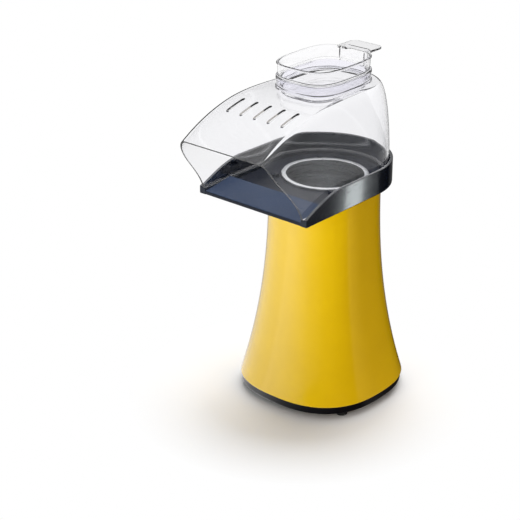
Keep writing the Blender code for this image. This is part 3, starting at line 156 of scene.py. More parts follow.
# neck and cup
NECK_SECTION = 3.4
NECK_HALF_WIDTH = 37.5 * MM
NECK_HALF_LENGTH = 48.5 * MM
NECK_CENTRE = -4.5 * MM
NECK_WALL = 2.2 * MM
NECK_BEAD = 1.3 * MM
CUP_WALL = 1.8 * MM
CUP_FLANGE_BOTTOM = NECK_TOP + GAP
CUP_FLANGE_TOP = CUP_FLANGE_BOTTOM + 1.8 * MM
CUP_RIM = 1.8 * MM
CUP_DRAFT = 1.0 * MM
HANDLE_HALF_WIDTH = 20.0 * MM
HANDLE_REACH = 71.0 * MM
HANDLE_THICKNESS = 2.8 * MM
HANDLE_CORNER = 7.0 * MM
HANDLE_WEB_REACH = 54.0 * MM
HANDLE_WEB_HALF_WIDTH = 17.0 * MM

# popping chamber
CHAMBER_RADIUS = 42.0 * MM
CHAMBER_WALL = 1.0 * MM
CHAMBER_RIM = 4.2 * MM
CHAMBER_RIM_BOTTOM = TRAY_FLOOR_TOP + GAP
CHAMBER_RIM_TOP = CHAMBER_RIM_BOTTOM + 2.2 * MM
CHAMBER_CONE = 4.0 * MM
LOUVRE_COUNT = 16
LOUVRE_HEIGHT = 14.0 * MM
LOUVRE_WIDTH = 1.8 * MM
LOUVRE_SKEW = math.radians(35.0)

# cord inlet
GROMMET_HEIGHT = 31.0 * MM
GROMMET_RADIUS = 5.2 * MM
GROMMET_FLANGE = 2.2 * MM
GROMMET_BORE = 3.3 * MM
SWITCH_HEIGHT = 58.0 * MM
SWITCH_WIDTH = 13.0 * MM
SWITCH_TALL = 19.0 * MM

# ---------------------------------------------------------------- shader nodes


def node(tree, kind, **settings):
    made = tree.nodes.new("ShaderNode" + kind)
    for key, value in settings.items():
        setattr(made, key, value)
    return made


def join(tree, source, target):
    tree.links.new(source, target)


def fill(made, **values):
    """Set a node's plain inputs by name; underscores stand for spaces."""
    for key, value in values.items():
        made.inputs[key.replace("_", " ")].default_value = value
    return made


def shader_group(name, inputs, outputs):
    """A node group with named sockets; returns its tree, its input node and its output node."""
    tree = bpy.data.node_groups.new(name, "ShaderNodeTree")
    kinds = {"value": "NodeSocketFloat", "colour": "NodeSocketColor", "vector": "NodeSocketVector"}
    for label, kind, default in inputs:
        socket = tree.interface.new_socket(name=label, in_out="INPUT", socket_type=kinds[kind])
        socket.default_value = default
    for label, kind in outputs:
        tree.interface.new_socket(name=label, in_out="OUTPUT", socket_type=kinds[kind])
    return tree, tree.nodes.new("NodeGroupInput"), tree.nodes.new("NodeGroupOutput")


def math_node(tree, operation, first, second=None, third=None, clamp=False):
    made = node(tree, "Math", operation=operation, use_clamp=clamp)
    for socket, value in zip(made.inputs, (first, second, third)):
        if value is None:
            continue
        if isinstance(value, (int, float)):
            socket.default_value = value
        else:
            join(tree, value, socket)
    return made.outputs[0]


def ramp(tree, value, low, high, to_low=0.0, to_high=1.0):
    """Map a value from low..high to to_low..to_high, clamped."""
    made = node(tree, "MapRange")
    join(tree, value, made.inputs["Value"])
    for label, number in (("From Min", low), ("From Max", high), ("To Min", to_low), ("To Max", to_high)):
        if isinstance(number, (int, float)):
            made.inputs[label].default_value = number
        else:
            join(tree, number, made.inputs[label])
    return made.outputs["Result"]


def object_place(tree):
    return node(tree, "TexCoord").outputs["Object"]


def cloud(tree, place, scale, detail, roughness):
    """Noise at a place, with its scale from a socket."""
    made = fill(node(tree, "TexNoise"), Detail=detail, Roughness=roughness)
    join(tree, place, made.inputs["Vector"])
    join(tree, scale, made.inputs["Scale"])
    return made.outputs["Fac"]


LIGHTNESS_SWING = 4.0
HUE_SWING = 0.12


def make_colour_drift():
    """Slow changes of lightness and warmth, as pigment has in a moulding."""
    tree, given, out = shader_group(
        "Colour drift",
        [("Colour", "colour", (0.5, 0.5, 0.5, 1.0)), ("Spread", "value", 0.05), ("Scale", "value", 30.0)],
        [("Colour", "colour")])
    pigment = cloud(tree, object_place(tree), given.outputs["Scale"], 3.0, 0.55)
    swing = math_node(tree, "MULTIPLY", math_node(tree, "SUBTRACT", pigment, 0.5), given.outputs["Spread"])
    shift = node(tree, "HueSaturation")
    join(tree, given.outputs["Colour"], shift.inputs["Color"])
    join(tree, math_node(tree, "MULTIPLY_ADD", swing, LIGHTNESS_SWING, 1.0), shift.inputs["Value"])
    join(tree, math_node(tree, "MULTIPLY_ADD", swing, HUE_SWING, 0.5), shift.inputs["Hue"])
    join(tree, shift.outputs["Color"], out.inputs["Colour"])
    return tree


def make_moulded_skin():
    """Height of a moulded surface: fine pimples over slow sink ripples."""
    tree, given, out = shader_group(
        "Moulded skin",
        [("Grain", "value", 2500.0), ("Grain depth", "value", 0.3),
         ("Ripple", "value", 45.0), ("Ripple depth", "value", 1.0)],
        [("Height", "value")])
    place = object_place(tree)
    fine = cloud(tree, place, given.outputs["Grain"], 2.0, 0.6)
    slow = cloud(tree, place, given.outputs["Ripple"], 1.0, 0.4)
    pimples = math_node(tree, "MULTIPLY", fine, given.outputs["Grain depth"])
    total = math_node(tree, "MULTIPLY_ADD", slow, given.outputs["Ripple depth"], pimples)
    join(tree, total, out.inputs["Height"])
    return tree


def make_edge_wear_and_highlight():
    """Mask of edges that hands and cloths have polished; on the yellow housing it also paints a highlight."""
    tree, given, out = shader_group(
        "Edge wear and painted highlight", [("Amount", "value", 0.5), ("Scale", "value", 120.0)], [("Mask", "value")])
    edge = ramp(tree, node(tree, "NewGeometry").outputs["Pointiness"], 0.52, 0.60)
    patch = cloud(tree, object_place(tree), given.outputs["Scale"], 4.0, 0.7)
    broken = math_node(tree, "MULTIPLY", edge, ramp(tree, patch, 0.35, 0.65, 0.25, 1.0))
    mask = math_node(tree, "MULTIPLY", broken, given.outputs["Amount"], clamp=True)
    join(tree, mask, out.inputs["Mask"])
    return tree


def make_fine_scratches():
    """Mask of hairline scratches from wiping, in two directions."""
    tree, given, out = shader_group(
        "Fine scratches", [("Scale", "value", 60.0), ("Amount", "value", 0.5)], [("Mask", "value")])
    place = object_place(tree)
    total = None
    for turned, stretch in (((0.3, 0.2, 0.5), (1.0, 26.0, 22.0)), ((-0.5, 0.4, -0.9), (24.0, 1.0, 20.0))):
        lay = fill(node(tree, "Mapping"), Rotation=turned, Scale=stretch)
        join(tree, place, lay.inputs["Vector"])
        hair = cloud(tree, lay.outputs["Vector"], given.outputs["Scale"], 2.0, 0.5)
        line = ramp(tree, hair, 0.66, 0.74)
        total = line if total is None else math_node(tree, "MAXIMUM", total, line)
    join(tree, math_node(tree, "MULTIPLY", total, given.outputs["Amount"]), out.inputs["Mask"])
    return tree


def make_settled_dust():
    """Mask of a thin dust film on faces that look up."""
    tree, given, out = shader_group(
        "Settled dust", [("Amount", "value", 0.3), ("Scale", "value", 300.0)], [("Mask", "value")])
    parts = node(tree, "SeparateXYZ")
    join(tree, node(tree, "NewGeometry").outputs["Normal"], parts.inputs["Vector"])
    upward = ramp(tree, parts.outputs["Z"], 0.5, 1.0)
    specks = cloud(tree, object_place(tree), given.outputs["Scale"], 5.0, 0.75)
    film = math_node(tree, "MULTIPLY", upward, ramp(tree, specks, 0.42, 0.72))
    join(tree, math_node(tree, "MULTIPLY", film, given.outputs["Amount"]), out.inputs["Mask"])
    return tree


def make_brushed_grain():
    """Streaks of a drawn or turned metal, stretched along one direction."""
    tree, given, out = shader_group(
        "Brushed grain", [("Stretch", "vector", (1.0, 1.0, 40.0)), ("Scale", "value", 60.0)],
        [("Streak", "value")])
    lay = node(tree, "VectorMath", operation="MULTIPLY")
    join(tree, object_place(tree), lay.inputs[0])
    join(tree, given.outputs["Stretch"], lay.inputs[1])
    streak = cloud(tree, lay.outputs["Vector"], given.outputs["Scale"], 4.0, 0.65)
    join(tree, streak, out.inputs["Streak"])
    return tree


COLOUR_DRIFT = make_colour_drift()
MOULDED_SKIN = make_moulded_skin()
EDGE_WEAR_AND_HIGHLIGHT = make_edge_wear_and_highlight()
FINE_SCRATCHES = make_fine_scratches()
SETTLED_DUST = make_settled_dust()
BRUSHED_GRAIN = make_brushed_grain()


def use(tree, group, **values):
    made = tree.nodes.new("ShaderNodeGroup")
    made.node_tree = group
    return fill(made, **values)


def new_look(name):
    look = bpy.data.materials.new(name)
    look.use_nodes = True
    return look, look.node_tree, look.node_tree.nodes["Principled BSDF"]


def tint(tree, base, other, mask):
    """Mix a colour towards another by a mask."""
    mix = node(tree, "Mix", data_type="RGBA")
    join(tree, mask, mix.inputs[0])
    join(tree, base, mix.inputs[6])
    mix.inputs[7].default_value = (*other, 1.0)
    return mix.outputs[2]


def mixed_shader(tree, mask, first, second):
    """The first shader where the mask is zero, the second where it is one."""
    made = node(tree, "MixShader")
    join(tree, mask, made.inputs[0])
    join(tree, first.outputs[0], made.inputs[1])
    join(tree, second.outputs[0], made.inputs[2])
    return made


def bump(tree, shader, height, distance):
    made = fill(node(tree, "Bump"), Strength=1.0, Distance=distance)
    join(tree, height, made.inputs["Height"])
    join(tree, made.outputs["Normal"], shader.inputs["Normal"])


DUST_COLOUR = (0.62, 0.60, 0.56)
COAT_ROUGHNESS = 0.05
THROUGH_COLOUR = (0.93, 0.94, 0.95, 1.0)    # what a lamp's light keeps when it passes a clear wall


def plastic(name, colour, roughness, wear_and_highlight_colour, spread=0.03, coat=0.0, grain=2500.0, grain_depth=0.2,
            ripple_depth=1.0, depth=0.00002, scratch=0.12, dust=0.05, wear_and_highlight_amount=0.35, specular=0.5):
    """Moulded plastic or rubber: pigment drift, polished edges that also paint a highlight, hairlines, dust and
    skin.
    """
    look, tree, shader = new_look(name)
    drift = use(tree, COLOUR_DRIFT, Colour=(*colour, 1.0), Spread=spread, Scale=28.0)
    wear_and_highlight_mask = use(tree, EDGE_WEAR_AND_HIGHLIGHT, Amount=wear_and_highlight_amount, Scale=140.0)
    film = use(tree, SETTLED_DUST, Amount=dust, Scale=420.0)
    hairs = use(tree, FINE_SCRATCHES, Scale=45.0, Amount=1.0)
    skin = use(tree, MOULDED_SKIN, Grain=grain, Grain_depth=grain_depth, Ripple=42.0,
               Ripple_depth=ripple_depth)
    colour_now = tint(tree, drift.outputs["Colour"], wear_and_highlight_colour, wear_and_highlight_mask.outputs["Mask"])
    colour_now = tint(tree, colour_now, DUST_COLOUR, film.outputs["Mask"])
    join(tree, colour_now, shader.inputs["Base Color"])
    rough = math_node(tree, "MULTIPLY_ADD", hairs.outputs["Mask"], scratch, roughness)
    rough = math_node(tree, "MULTIPLY_ADD", film.outputs["Mask"], 0.5, rough, clamp=True)
    join(tree, rough, shader.inputs["Roughness"])
    bump(tree, shader, skin.outputs["Height"], depth)
    fill(shader, Coat_Weight=coat, Coat_Roughness=COAT_ROUGHNESS, Specular_IOR_Level=specular)
    return look


def metal(name, colour, roughness, stretch, scale=60.0, rough_spread=0.2, spread=0.05,
          tarnish=(0.2, 0.17, 0.13), tarnish_amount=0.15, depth=0.00002):
    """Bare metal: drawn or turned streaks, a little tarnish in patches."""
    look, tree, shader = new_look(name)
    drift = use(tree, COLOUR_DRIFT, Colour=(*colour, 1.0), Spread=spread, Scale=55.0)
    grain = use(tree, BRUSHED_GRAIN, Scale=scale)
    grain.inputs["Stretch"].default_value = stretch
    film = use(tree, SETTLED_DUST, Amount=0.12, Scale=260.0)
    wear_and_highlight_mask = use(tree, EDGE_WEAR_AND_HIGHLIGHT, Amount=0.5, Scale=90.0)
    patch = ramp(tree, grain.outputs["Streak"], 0.55, 0.8, 0.0, tarnish_amount)
    polished = tuple(min(part * 1.25, 1.0) for part in colour)
    colour_now = tint(tree, drift.outputs["Colour"], tarnish, patch)
    colour_now = tint(tree, colour_now, polished, wear_and_highlight_mask.outputs["Mask"])
    join(tree, colour_now, shader.inputs["Base Color"])
    half = rough_spread / 2
    rough = ramp(tree, grain.outputs["Streak"], 0.3, 0.7, roughness - half, roughness + half)
    rough = math_node(tree, "ADD", rough, film.outputs["Mask"], clamp=True)
    join(tree, rough, shader.inputs["Roughness"])
    shader.inputs["Metallic"].default_value = 1.0
    bump(tree, shader, grain.outputs["Streak"], depth)
    return look


def clear_plastic(name, colour, haze, bending):
    """Clear moulding: real glass-like body that lets lamps through to what it covers."""
    look, tree, shader = new_look(name)
    drift = use(tree, COLOUR_DRIFT, Colour=(*colour, 1.0), Spread=0.006, Scale=18.0)
    hairs = use(tree, FINE_SCRATCHES, Scale=38.0, Amount=1.0)
    film = use(tree, SETTLED_DUST, Amount=0.08, Scale=240.0)
    skin = use(tree, MOULDED_SKIN, Grain=600.0, Grain_depth=0.04, Ripple=26.0, Ripple_depth=1.0)
    join(tree, drift.outputs["Colour"], shader.inputs["Base Color"])
    rough = math_node(tree, "MULTIPLY_ADD", hairs.outputs["Mask"], 0.05, haze)
    rough = math_node(tree, "MULTIPLY_ADD", film.outputs["Mask"], 0.4, rough, clamp=True)
    join(tree, rough, shader.inputs["Roughness"])
    bump(tree, shader, skin.outputs["Height"], 0.00004)
    fill(shader, Transmission_Weight=1.0, IOR=bending)
    rays = node(tree, "LightPath")
    through = fill(node(tree, "BsdfTransparent"), Color=THROUGH_COLOUR)
    choose = mixed_shader(tree, rays.outputs["Is Shadow Ray"], shader, through)
    join(tree, choose.outputs[0], tree.nodes["Material Output"].inputs["Surface"])
    return look


# The yellow's light cream edge colour on its rounded edges is a painted highlight as well as rub wear.
YELLOW = plastic("yellow_housing", (0.745, 0.472, 0.001), 0.12, (0.95, 0.76, 0.32), coat=0.8,
                 depth=0.00003, grain_depth=0.02, ripple_depth=1.0, scratch=0.08, dust=0.02, wear_and_highlight_amount=0.6)
SLATE = plastic("slate_tray", (0.029, 0.043, 0.080), 0.38, (0.09, 0.11, 0.17), spread=0.05,
                grain_depth=0.10, depth=0.00002, dust=0.02, wear_and_highlight_amount=0.3, specular=0.12)
NAVY = plastic("navy_band", (0.004, 0.006, 0.012), 0.11, (0.035, 0.04, 0.05), spread=0.05, coat=0.8,
               grain_depth=0.03, ripple_depth=0.6, depth=0.00002, dust=0.02, wear_and_highlight_amount=0.3, specular=0.9)
# Near-black painted shade for the recessed tray floor, the front faces of the lip and band, and undersides.
TRAY_PAINTED_SHADE = plastic("tray_floor_painted_shade", (0.006, 0.008, 0.015), 0.34, (0.04, 0.05, 0.07), spread=0.06,
                    grain_depth=0.10, depth=0.00002, dust=0.02, wear_and_highlight_amount=0.3, specular=0.2)
BLACK = plastic("black_base", (0.005, 0.005, 0.007), 0.30, (0.03, 0.03, 0.035), spread=0.06,
                grain=3200.0, grain_depth=0.8, depth=0.00003, dust=0.08)
RUBBER = plastic("black_rubber", (0.011, 0.011, 0.011), 0.72, (0.05, 0.05, 0.05), spread=0.08,
                 grain=2600.0, grain_depth=1.0, depth=0.00005, dust=0.14, scratch=0.05)
RED = plastic("red_rocker", (0.42, 0.012, 0.010), 0.26, (0.60, 0.09, 0.07), grain_depth=0.1, dust=0.04)
CLEAR = clear_plastic("clear_hood", (0.984, 0.984, 0.995), 0.02, 1.43)
# The slot walls' grey clear look is painted shade that darkens the vents' edges.
CLEAR_SLOT_SHADE = clear_plastic("clear_slot_painted_shade", (0.50, 0.475, 0.45), 0.15, 1.43)
CLEAR_RING = clear_plastic("clear_neck_ring", (0.920, 0.913, 0.972), 0.02, 1.40)
CLEAR_CUP = clear_plastic("clear_cup", (0.992, 0.991, 0.999), 0.015, 1.33)
ALUMINIUM = metal("spun_aluminium", (0.76, 0.77, 0.78), 0.30, (1.0, 1.0, 26.0), 45.0)
STEEL = metal("plated_steel", (0.60, 0.61, 0.63), 0.28, (18.0, 18.0, 1.0), 70.0, tarnish=(0.30, 0.27, 0.22))
BRONZE = metal("sintered_bronze", (0.46, 0.27, 0.10), 0.42, (1.0, 1.0, 1.0), 900.0, tarnish=(0.10, 0.06, 0.03))
COPPER = metal("commutator_copper", (0.72, 0.33, 0.17), 0.30, (1.0, 1.0, 30.0), 80.0,
               tarnish=(0.12, 0.05, 0.03), tarnish_amount=0.35)
NICHROME = metal("heated_wire", (0.30, 0.27, 0.25), 0.42, (1.0, 1.0, 1.0), 500.0, tarnish=(0.05, 0.04, 0.06),
                 tarnish_amount=0.7)
FERRITE = plastic("ferrite_magnet", (0.032, 0.032, 0.034), 0.62, (0.10, 0.10, 0.10), spread=0.08,
                  grain_depth=1.0, depth=0.00004)
MICA = plastic("mica_sheet", (0.50, 0.40, 0.24), 0.45, (0.62, 0.53, 0.38), spread=0.22, coat=0.3,
               grain=500.0, grain_depth=1.0, depth=0.00004)
BOARD = plastic("rectifier_laminate", (0.30, 0.17, 0.05), 0.50, (0.42, 0.28, 0.12), spread=0.12,
                grain=1600.0, grain_depth=1.0, depth=0.00003)
LEAD_RED = plastic("lead_red", (0.40, 0.014, 0.014), 0.42, (0.5, 0.08, 0.07), depth=0.00002)
LEAD_BLACK = plastic("lead_black", (0.010, 0.010, 0.012), 0.42, (0.05, 0.05, 0.05), depth=0.00002)
LEAD_WHITE = plastic("lead_white", (0.66, 0.65, 0.60), 0.42, (0.75, 0.74, 0.70), depth=0.00002)

# ---------------------------------------------------------------- shaping helpers


def own(thing, look, body, stands_for=()):
    """Give a piece its look, the body it rides on and the CAD nodes it stands for."""
    thing.data.materials.clear()
    thing.data.materials.append(look)
    even = thing.modifiers.new("even_normals", "WEIGHTED_NORMAL")
    even.keep_sharp = True
    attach(thing, body)
    if stands_for:
        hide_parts(*stands_for)


def place(name, data):
    """Put an object of this name and data into the scene."""
    made = bpy.data.objects.new(name, data)
    bpy.context.scene.collection.objects.link(made)
    return made


def smooth(mesh):
    mesh.shade_smooth()
    mesh.set_sharp_from_angle(angle=math.radians(SHARP_CORNER))


def mesh_of(name, bm, matrix=None):
    """A bmesh about the body's axis as a mesh in the frame, with outward faces."""
    bmesh.ops.recalc_face_normals(bm, faces=bm.faces)
    if matrix is not None:
        bmesh.ops.transform(bm, matrix=matrix, verts=bm.verts)
    bmesh.ops.translate(bm, verts=bm.verts, vec=(0.0, AXIS_Y, 0.0))
    mesh = bpy.data.meshes.new(name)
    bm.to_mesh(mesh)
    bm.free()
    smooth(mesh)
    return mesh


def thing_of(name, bm, matrix=None):
    return place(name, mesh_of(name, bm, matrix))


def combine(target, other, operation):
    """Apply one exact boolean and drop its cutter."""
    modifier = target.modifiers.new(operation, "BOOLEAN")
    modifier.operation = operation
    modifier.solver = "EXACT"
    modifier.object = other
    settle(target)
    bpy.data.objects.remove(other, do_unlink=True)


def settle(target):
    """Apply all modifiers of a piece to its mesh."""
    depsgraph = bpy.context.evaluated_depsgraph_get()
    mesh = bpy.data.meshes.new_from_object(target.evaluated_get(depsgraph))
    target.modifiers.clear()
    target.data = mesh
    smooth(mesh)


def skin_rings(bm, rings, closed=False, caps=True):
    """Skin rings of equal point counts. A closed skin joins its last ring to its first."""
    loops = [[bm.verts.new(point) for point in ring] for ring in rings]
    pairs = list(zip(loops, loops[1:]))
    if closed:
        pairs.append((loops[-1], loops[0]))
    for lower, upper in pairs:
        for i in range(len(lower)):
            j = (i + 1) % len(lower)
            bm.faces.new((lower[i], lower[j], upper[j], upper[i]))
    if caps and not closed:
        bm.faces.new(reversed(loops[0]))
        bm.faces.new(loops[-1])
    return bm


def turn(bm, profile, segments, centre=(0.0, 0.0), closed=False):
    """Turn a profile of (radius, height) points about Z; a zero radius closes to a point."""
    loops = []
    for radius, height in profile:
        if radius < 1e-7:
            loops.append([bm.verts.new((centre[0], centre[1], height))])
        else:
            angles = [math.tau * i / segments for i in range(segments)]
            loops.append([bm.verts.new((centre[0] + radius * math.cos(angle),
                                        centre[1] + radius * math.sin(angle), height)) for angle in angles])
    pairs = list(zip(loops, loops[1:]))
    if closed:
        pairs.append((loops[-1], loops[0]))
    for near, far in pairs:
        for i in range(segments):
            j = (i + 1) % segments
            corners_of = [near[i % len(near)], near[j % len(near)], far[j % len(far)], far[i % len(far)]]
            face = []
            for vertex in corners_of:
                if vertex not in face:
                    face.append(vertex)
            if len(face) > 2:
                bm.faces.new(face)
    return bm


def soften(outline, radii, steps=4, closed=True):
    """Round an outline's corners; radii holds one radius per point, zero keeps it sharp."""
    count = len(outline)
    points = []
    for i, (x, y) in enumerate(outline):
        radius = radii[i]
        ends = not closed and i in (0, count - 1)
        if radius <= 0.0 or ends:
            points.append((x, y))
            continue
        corner = Vector((x, y))
        before = Vector(outline[i - 1]) - corner
        after = Vector(outline[(i + 1) % count]) - corner
        start = corner + before.normalized() * min(radius, before.length * 0.49)
        stop = corner + after.normalized() * min(radius, after.length * 0.49)
        for step in range(steps + 1):
            t = step / steps
            spot = start * (1 - t) ** 2 + corner * 2 * t * (1 - t) + stop * t ** 2
            points.append((spot.x, spot.y))
    return points


def superellipse(half_x, half_y, power, z, count, centre_y=0.0):
    ring = []
    for i in range(count):
        angle = math.tau * i / count
        c, s = math.cos(angle), math.sin(angle)
        scale = (abs(c) ** power + abs(s) ** power) ** (-1.0 / power)
        ring.append((half_x * c * scale, centre_y + half_y * s * scale, z))
    return ring


def housing_ring(radius, z, count=144):
    return superellipse(radius, radius, HOUSING_SECTION, z, count)


def neck_ring(inset, z, count=112):
    half_x, half_y = NECK_HALF_WIDTH - inset, NECK_HALF_LENGTH - inset
    return superellipse(half_x, half_y, NECK_SECTION, z, count, NECK_CENTRE)


def box_thing(name, low, high, matrix=None):
    bm = bmesh.new()
    low, high = Vector(low), Vector(high)
    size = Matrix.Diagonal((*(high - low), 1.0))
    bmesh.ops.create_cube(bm, size=1.0, matrix=Matrix.Translation((low + high) / 2) @ size)
    return thing_of(name, bm, matrix)


def rods_thing(name, spots, radius, low, high, segments, matrix=None):
    bm = bmesh.new()
    for x, y in spots:
        turn(bm, [(0.0, low), (radius, low), (radius, high), (0.0, high)], segments, (x, y))
    return thing_of(name, bm, matrix)


def slab(bm, outline_at, low, high, edge, steps=3):
    """A flat plate with rounded edges. outline_at(inset) gives its outline of (x, y) points."""
    def rounded(face_height, inward):
        rings = []
        for i in range(steps + 1):
            angle = math.pi / 2 * i / steps
            height = face_height + inward * edge * (1 - math.sin(angle))
            rings.append([(x, y, height) for x, y in outline_at(edge * (1 - math.cos(angle)))])
        return rings

    return skin_rings(bm, rounded(low, 1)[::-1] + rounded(high, -1))


def lay_flat(outline, heights):
    """The same flat outline at each height."""
    return [[(x, y, z) for x, y in outline] for z in heights]


# ---------------------------------------------------------------- housing


def housing_radius(z):
    share = min(max((z - HOUSING_BOTTOM) / (HOUSING_FLARE_TOP - HOUSING_BOTTOM), 0.0), 1.0)
    return HOUSING_TOP_RADIUS + HOUSING_FLARE * (1.0 - share) ** HOUSING_FLARE_POWER


def housing_lean(z):
    return math.atan2(housing_radius(z - MM) - housing_radius(z + MM), 2 * MM)


def wall_seat(height):
    """Matrix of a seat on the rear wall: its Z points out of the wall and its Y up along it."""
    lean = housing_lean(height)
    c, s = math.cos(lean), math.sin(lean)
    tilt = Matrix(((-1, 0, 0), (0, -s, c), (0, c, s))).to_4x4()
    return Matrix.Translation((0.0, housing_radius(height), height)) @ tilt


def four_corners(offset):
    return [(offset, offset), (-offset, offset), (-offset, -offset), (offset, -offset)]


BOSS_SPREAD = DIAGONAL * (housing_radius(BOSS_TOP) - HOUSING_WALL / 4) - BOSS_RADIUS
BOSS_SPOTS = four_corners(BOSS_SPREAD * math.sqrt(0.5))


def make_housing_shell():
    """The flared outer shell, with its screw bosses, its switch window and its cord hole."""
    rings = []
    edge_steps = 4
    for i in range(edge_steps + 1):
        angle = math.pi / 2 * i / edge_steps
        height = HOUSING_BOTTOM + HOUSING_EDGE * (1 - math.cos(angle))
        rings.append(housing_ring(housing_radius(height) - HOUSING_EDGE * (1 - math.sin(angle)), height))
    outer_steps = 56
    first = HOUSING_BOTTOM + HOUSING_EDGE
    top_edge = 0.5 * MM
    for i in range(1, outer_steps + 1):
        height = first + (HOUSING_TOP - top_edge - first) * (i / outer_steps) ** 1.1
        rings.append(housing_ring(housing_radius(height), height))
    rings.append(housing_ring(HOUSING_TOP_RADIUS - top_edge * 0.3, HOUSING_TOP - top_edge * 0.3))
    rings.append(housing_ring(HOUSING_TOP_RADIUS - top_edge, HOUSING_TOP))
    rings.append(housing_ring(HOUSING_TOP_RADIUS - HOUSING_WALL + top_edge, HOUSING_TOP))
    inner_steps = 20
    for i in range(inner_steps + 1):
        height = HOUSING_TOP - top_edge - (HOUSING_TOP - top_edge - HOUSING_BOTTOM) * (i / inner_steps) ** 0.9
        rings.append(housing_ring(housing_radius(height) - HOUSING_WALL, height))
    shell = thing_of("housing_shell", skin_rings(bmesh.new(), rings, closed=True))
    bosses = bmesh.new()
    chamfer = 0.6 * MM
    pilot_end = PLATE_BOTTOM + PILOT_DEPTH
    for spot in BOSS_SPOTS:
        turn(bosses, [(BOSS_RADIUS, PLATE_TOP + GAP), (BOSS_RADIUS, BOSS_TOP - chamfer),
                      (BOSS_RADIUS - chamfer, BOSS_TOP), (0.0, BOSS_TOP), (0.0, pilot_end),
                      (PILOT_RADIUS, pilot_end), (PILOT_RADIUS, PLATE_TOP + GAP)], 32, spot, closed=True)
    combine(shell, thing_of("bosses", bosses), "UNION")
    half_x, half_y = SWITCH_WIDTH / 2 + GAP, SWITCH_TALL / 2 + GAP
    inside, outside = -10 * MM, 10 * MM
    combine(shell, box_thing("window", (-half_x, -half_y, inside), (half_x, half_y, outside / 2),
                             wall_seat(SWITCH_HEIGHT)), "DIFFERENCE")
    combine(shell, rods_thing("inlet", [(0.0, 0.0)], GROMMET_RADIUS + GAP, inside, outside, 40,
                              wall_seat(GROMMET_HEIGHT)), "DIFFERENCE")
    own(shell, YELLOW, "root", ["housing"])


# ---------------------------------------------------------------- base


def make_base():
    """The plate that closes the housing: turned-up rim, air slots, screw sinks and board posts."""
    edge = BASE_RADIUS - PLATE_INSET
    shoulder = HOUSING_BOTTOM - GAP
    rim_top = HOUSING_BOTTOM + PLATE_RIM_RISE
    rim = housing_radius(rim_top) - HOUSING_WALL - SLIDE_GAP
    section = [
        (edge - PLATE_EDGE, PLATE_BOTTOM), (edge, PLATE_BOTTOM + PLATE_EDGE), (edge, shoulder),
        (rim, shoulder), (rim, rim_top), (rim - PLATE_RIM_WALL, rim_top), (rim - PLATE_RIM_WALL, PLATE_TOP),
    ]
    section = soften(section, [1.2 * MM, 1.2 * MM, 0.6 * MM, 0.0, 0.5 * MM, 0.5 * MM, 0.0], closed=False)
    rings = [housing_ring(radius, height) for radius, height in section]
    plate = thing_of("base_pan", skin_rings(bmesh.new(), rings))
    slots = bmesh.new()
    for i in range(AIR_SLOT_COUNT):
        angle = math.tau * i / AIR_SLOT_COUNT + math.pi / AIR_SLOT_COUNT
        outline = []
        for end, start in ((1, 0.0), (-1, math.pi)):
            for step in range(7):
                bend = start + math.pi * step / 6 - math.pi / 2
                outline.append((AIR_SLOT_CENTRE + end * AIR_SLOT_HALF_LENGTH + AIR_SLOT_RADIUS * math.cos(bend),
                                AIR_SLOT_RADIUS * math.sin(bend)))
        c, s = math.cos(angle), math.sin(angle)
        outline = [(x * c - y * s, x * s + y * c) for x, y in outline]
        skin_rings(slots, lay_flat(outline, (PLATE_BOTTOM - MM, PLATE_TOP + MM)))
    combine(plate, thing_of("slots", slots), "DIFFERENCE")
    for name, spots, radius, top, segments in (
            ("foot_holes", FOOT_SPOTS, FOOT_STEM_RADIUS + GAP, 3 * PLATE_TOP, 24),
            ("screw_holes", BOSS_SPOTS, SCREW_RADIUS + GAP, 2 * PLATE_TOP, 24),
            ("screw_sinks", BOSS_SPOTS, SCREW_HEAD_RADIUS + SLIDE_GAP, PLATE_BOTTOM + PLATE_FLOOR / 2, 32)):
        combine(plate, rods_thing(name, spots, radius, 0.0, top, segments), "DIFFERENCE")
    posts = bmesh.new()
    board_left, board_right = node_span("rectifier_board", 0)
    board_y = node_middle("rectifier_board", 1) - AXIS_Y
    post_top = node_span("rectifier_board", 2)[0] - GAP
    reach = (board_right - board_left) / 3
    for x in (-reach, reach):
        turn(posts, [(0.0, PLATE_TOP - MM), (2.4 * MM, PLATE_TOP - MM), (2.2 * MM, post_top - 0.2 * MM),
                     (2.0 * MM, post_top), (0.0, post_top)], 24, (x, board_y))
    combine(plate, thing_of("posts", posts), "UNION")
    own(plate, BLACK, "root", ["base_plate"])


def make_rubber_feet():
    """Round feet with a hollow sole, held by a bulb pressed through the plate."""
    bulb = PLATE_TOP + GAP
    profile = [
        (0.0, bulb + 1.8 * MM), (FOOT_BULB_RADIUS * 0.6, bulb + 1.6 * MM),
        (FOOT_BULB_RADIUS, bulb + 0.6 * MM), (FOOT_BULB_RADIUS, bulb), (FOOT_STEM_RADIUS, bulb),
        (FOOT_STEM_RADIUS, FOOT_HEIGHT), (FOOT_RADIUS - 0.4 * MM, FOOT_HEIGHT),
        (FOOT_RADIUS, FOOT_HEIGHT - 0.4 * MM), (FOOT_RADIUS, 1.0 * MM), (FOOT_RADIUS - 0.3 * MM, 0.35 * MM),
        (FOOT_RADIUS - 0.9 * MM, 0.0), (FOOT_RADIUS - 2.2 * MM, 0.0),
        (FOOT_RADIUS - 2.6 * MM, 0.5 * MM), (0.0, 0.5 * MM),
    ]
    for number, spot in enumerate(FOOT_SPOTS, start=1):
        foot = thing_of("rubber_foot_%d" % number, turn(bmesh.new(), profile, 40, spot))
        own(foot, RUBBER, "root", ["foot_%d" % number])


# ---------------------------------------------------------------- chute tray


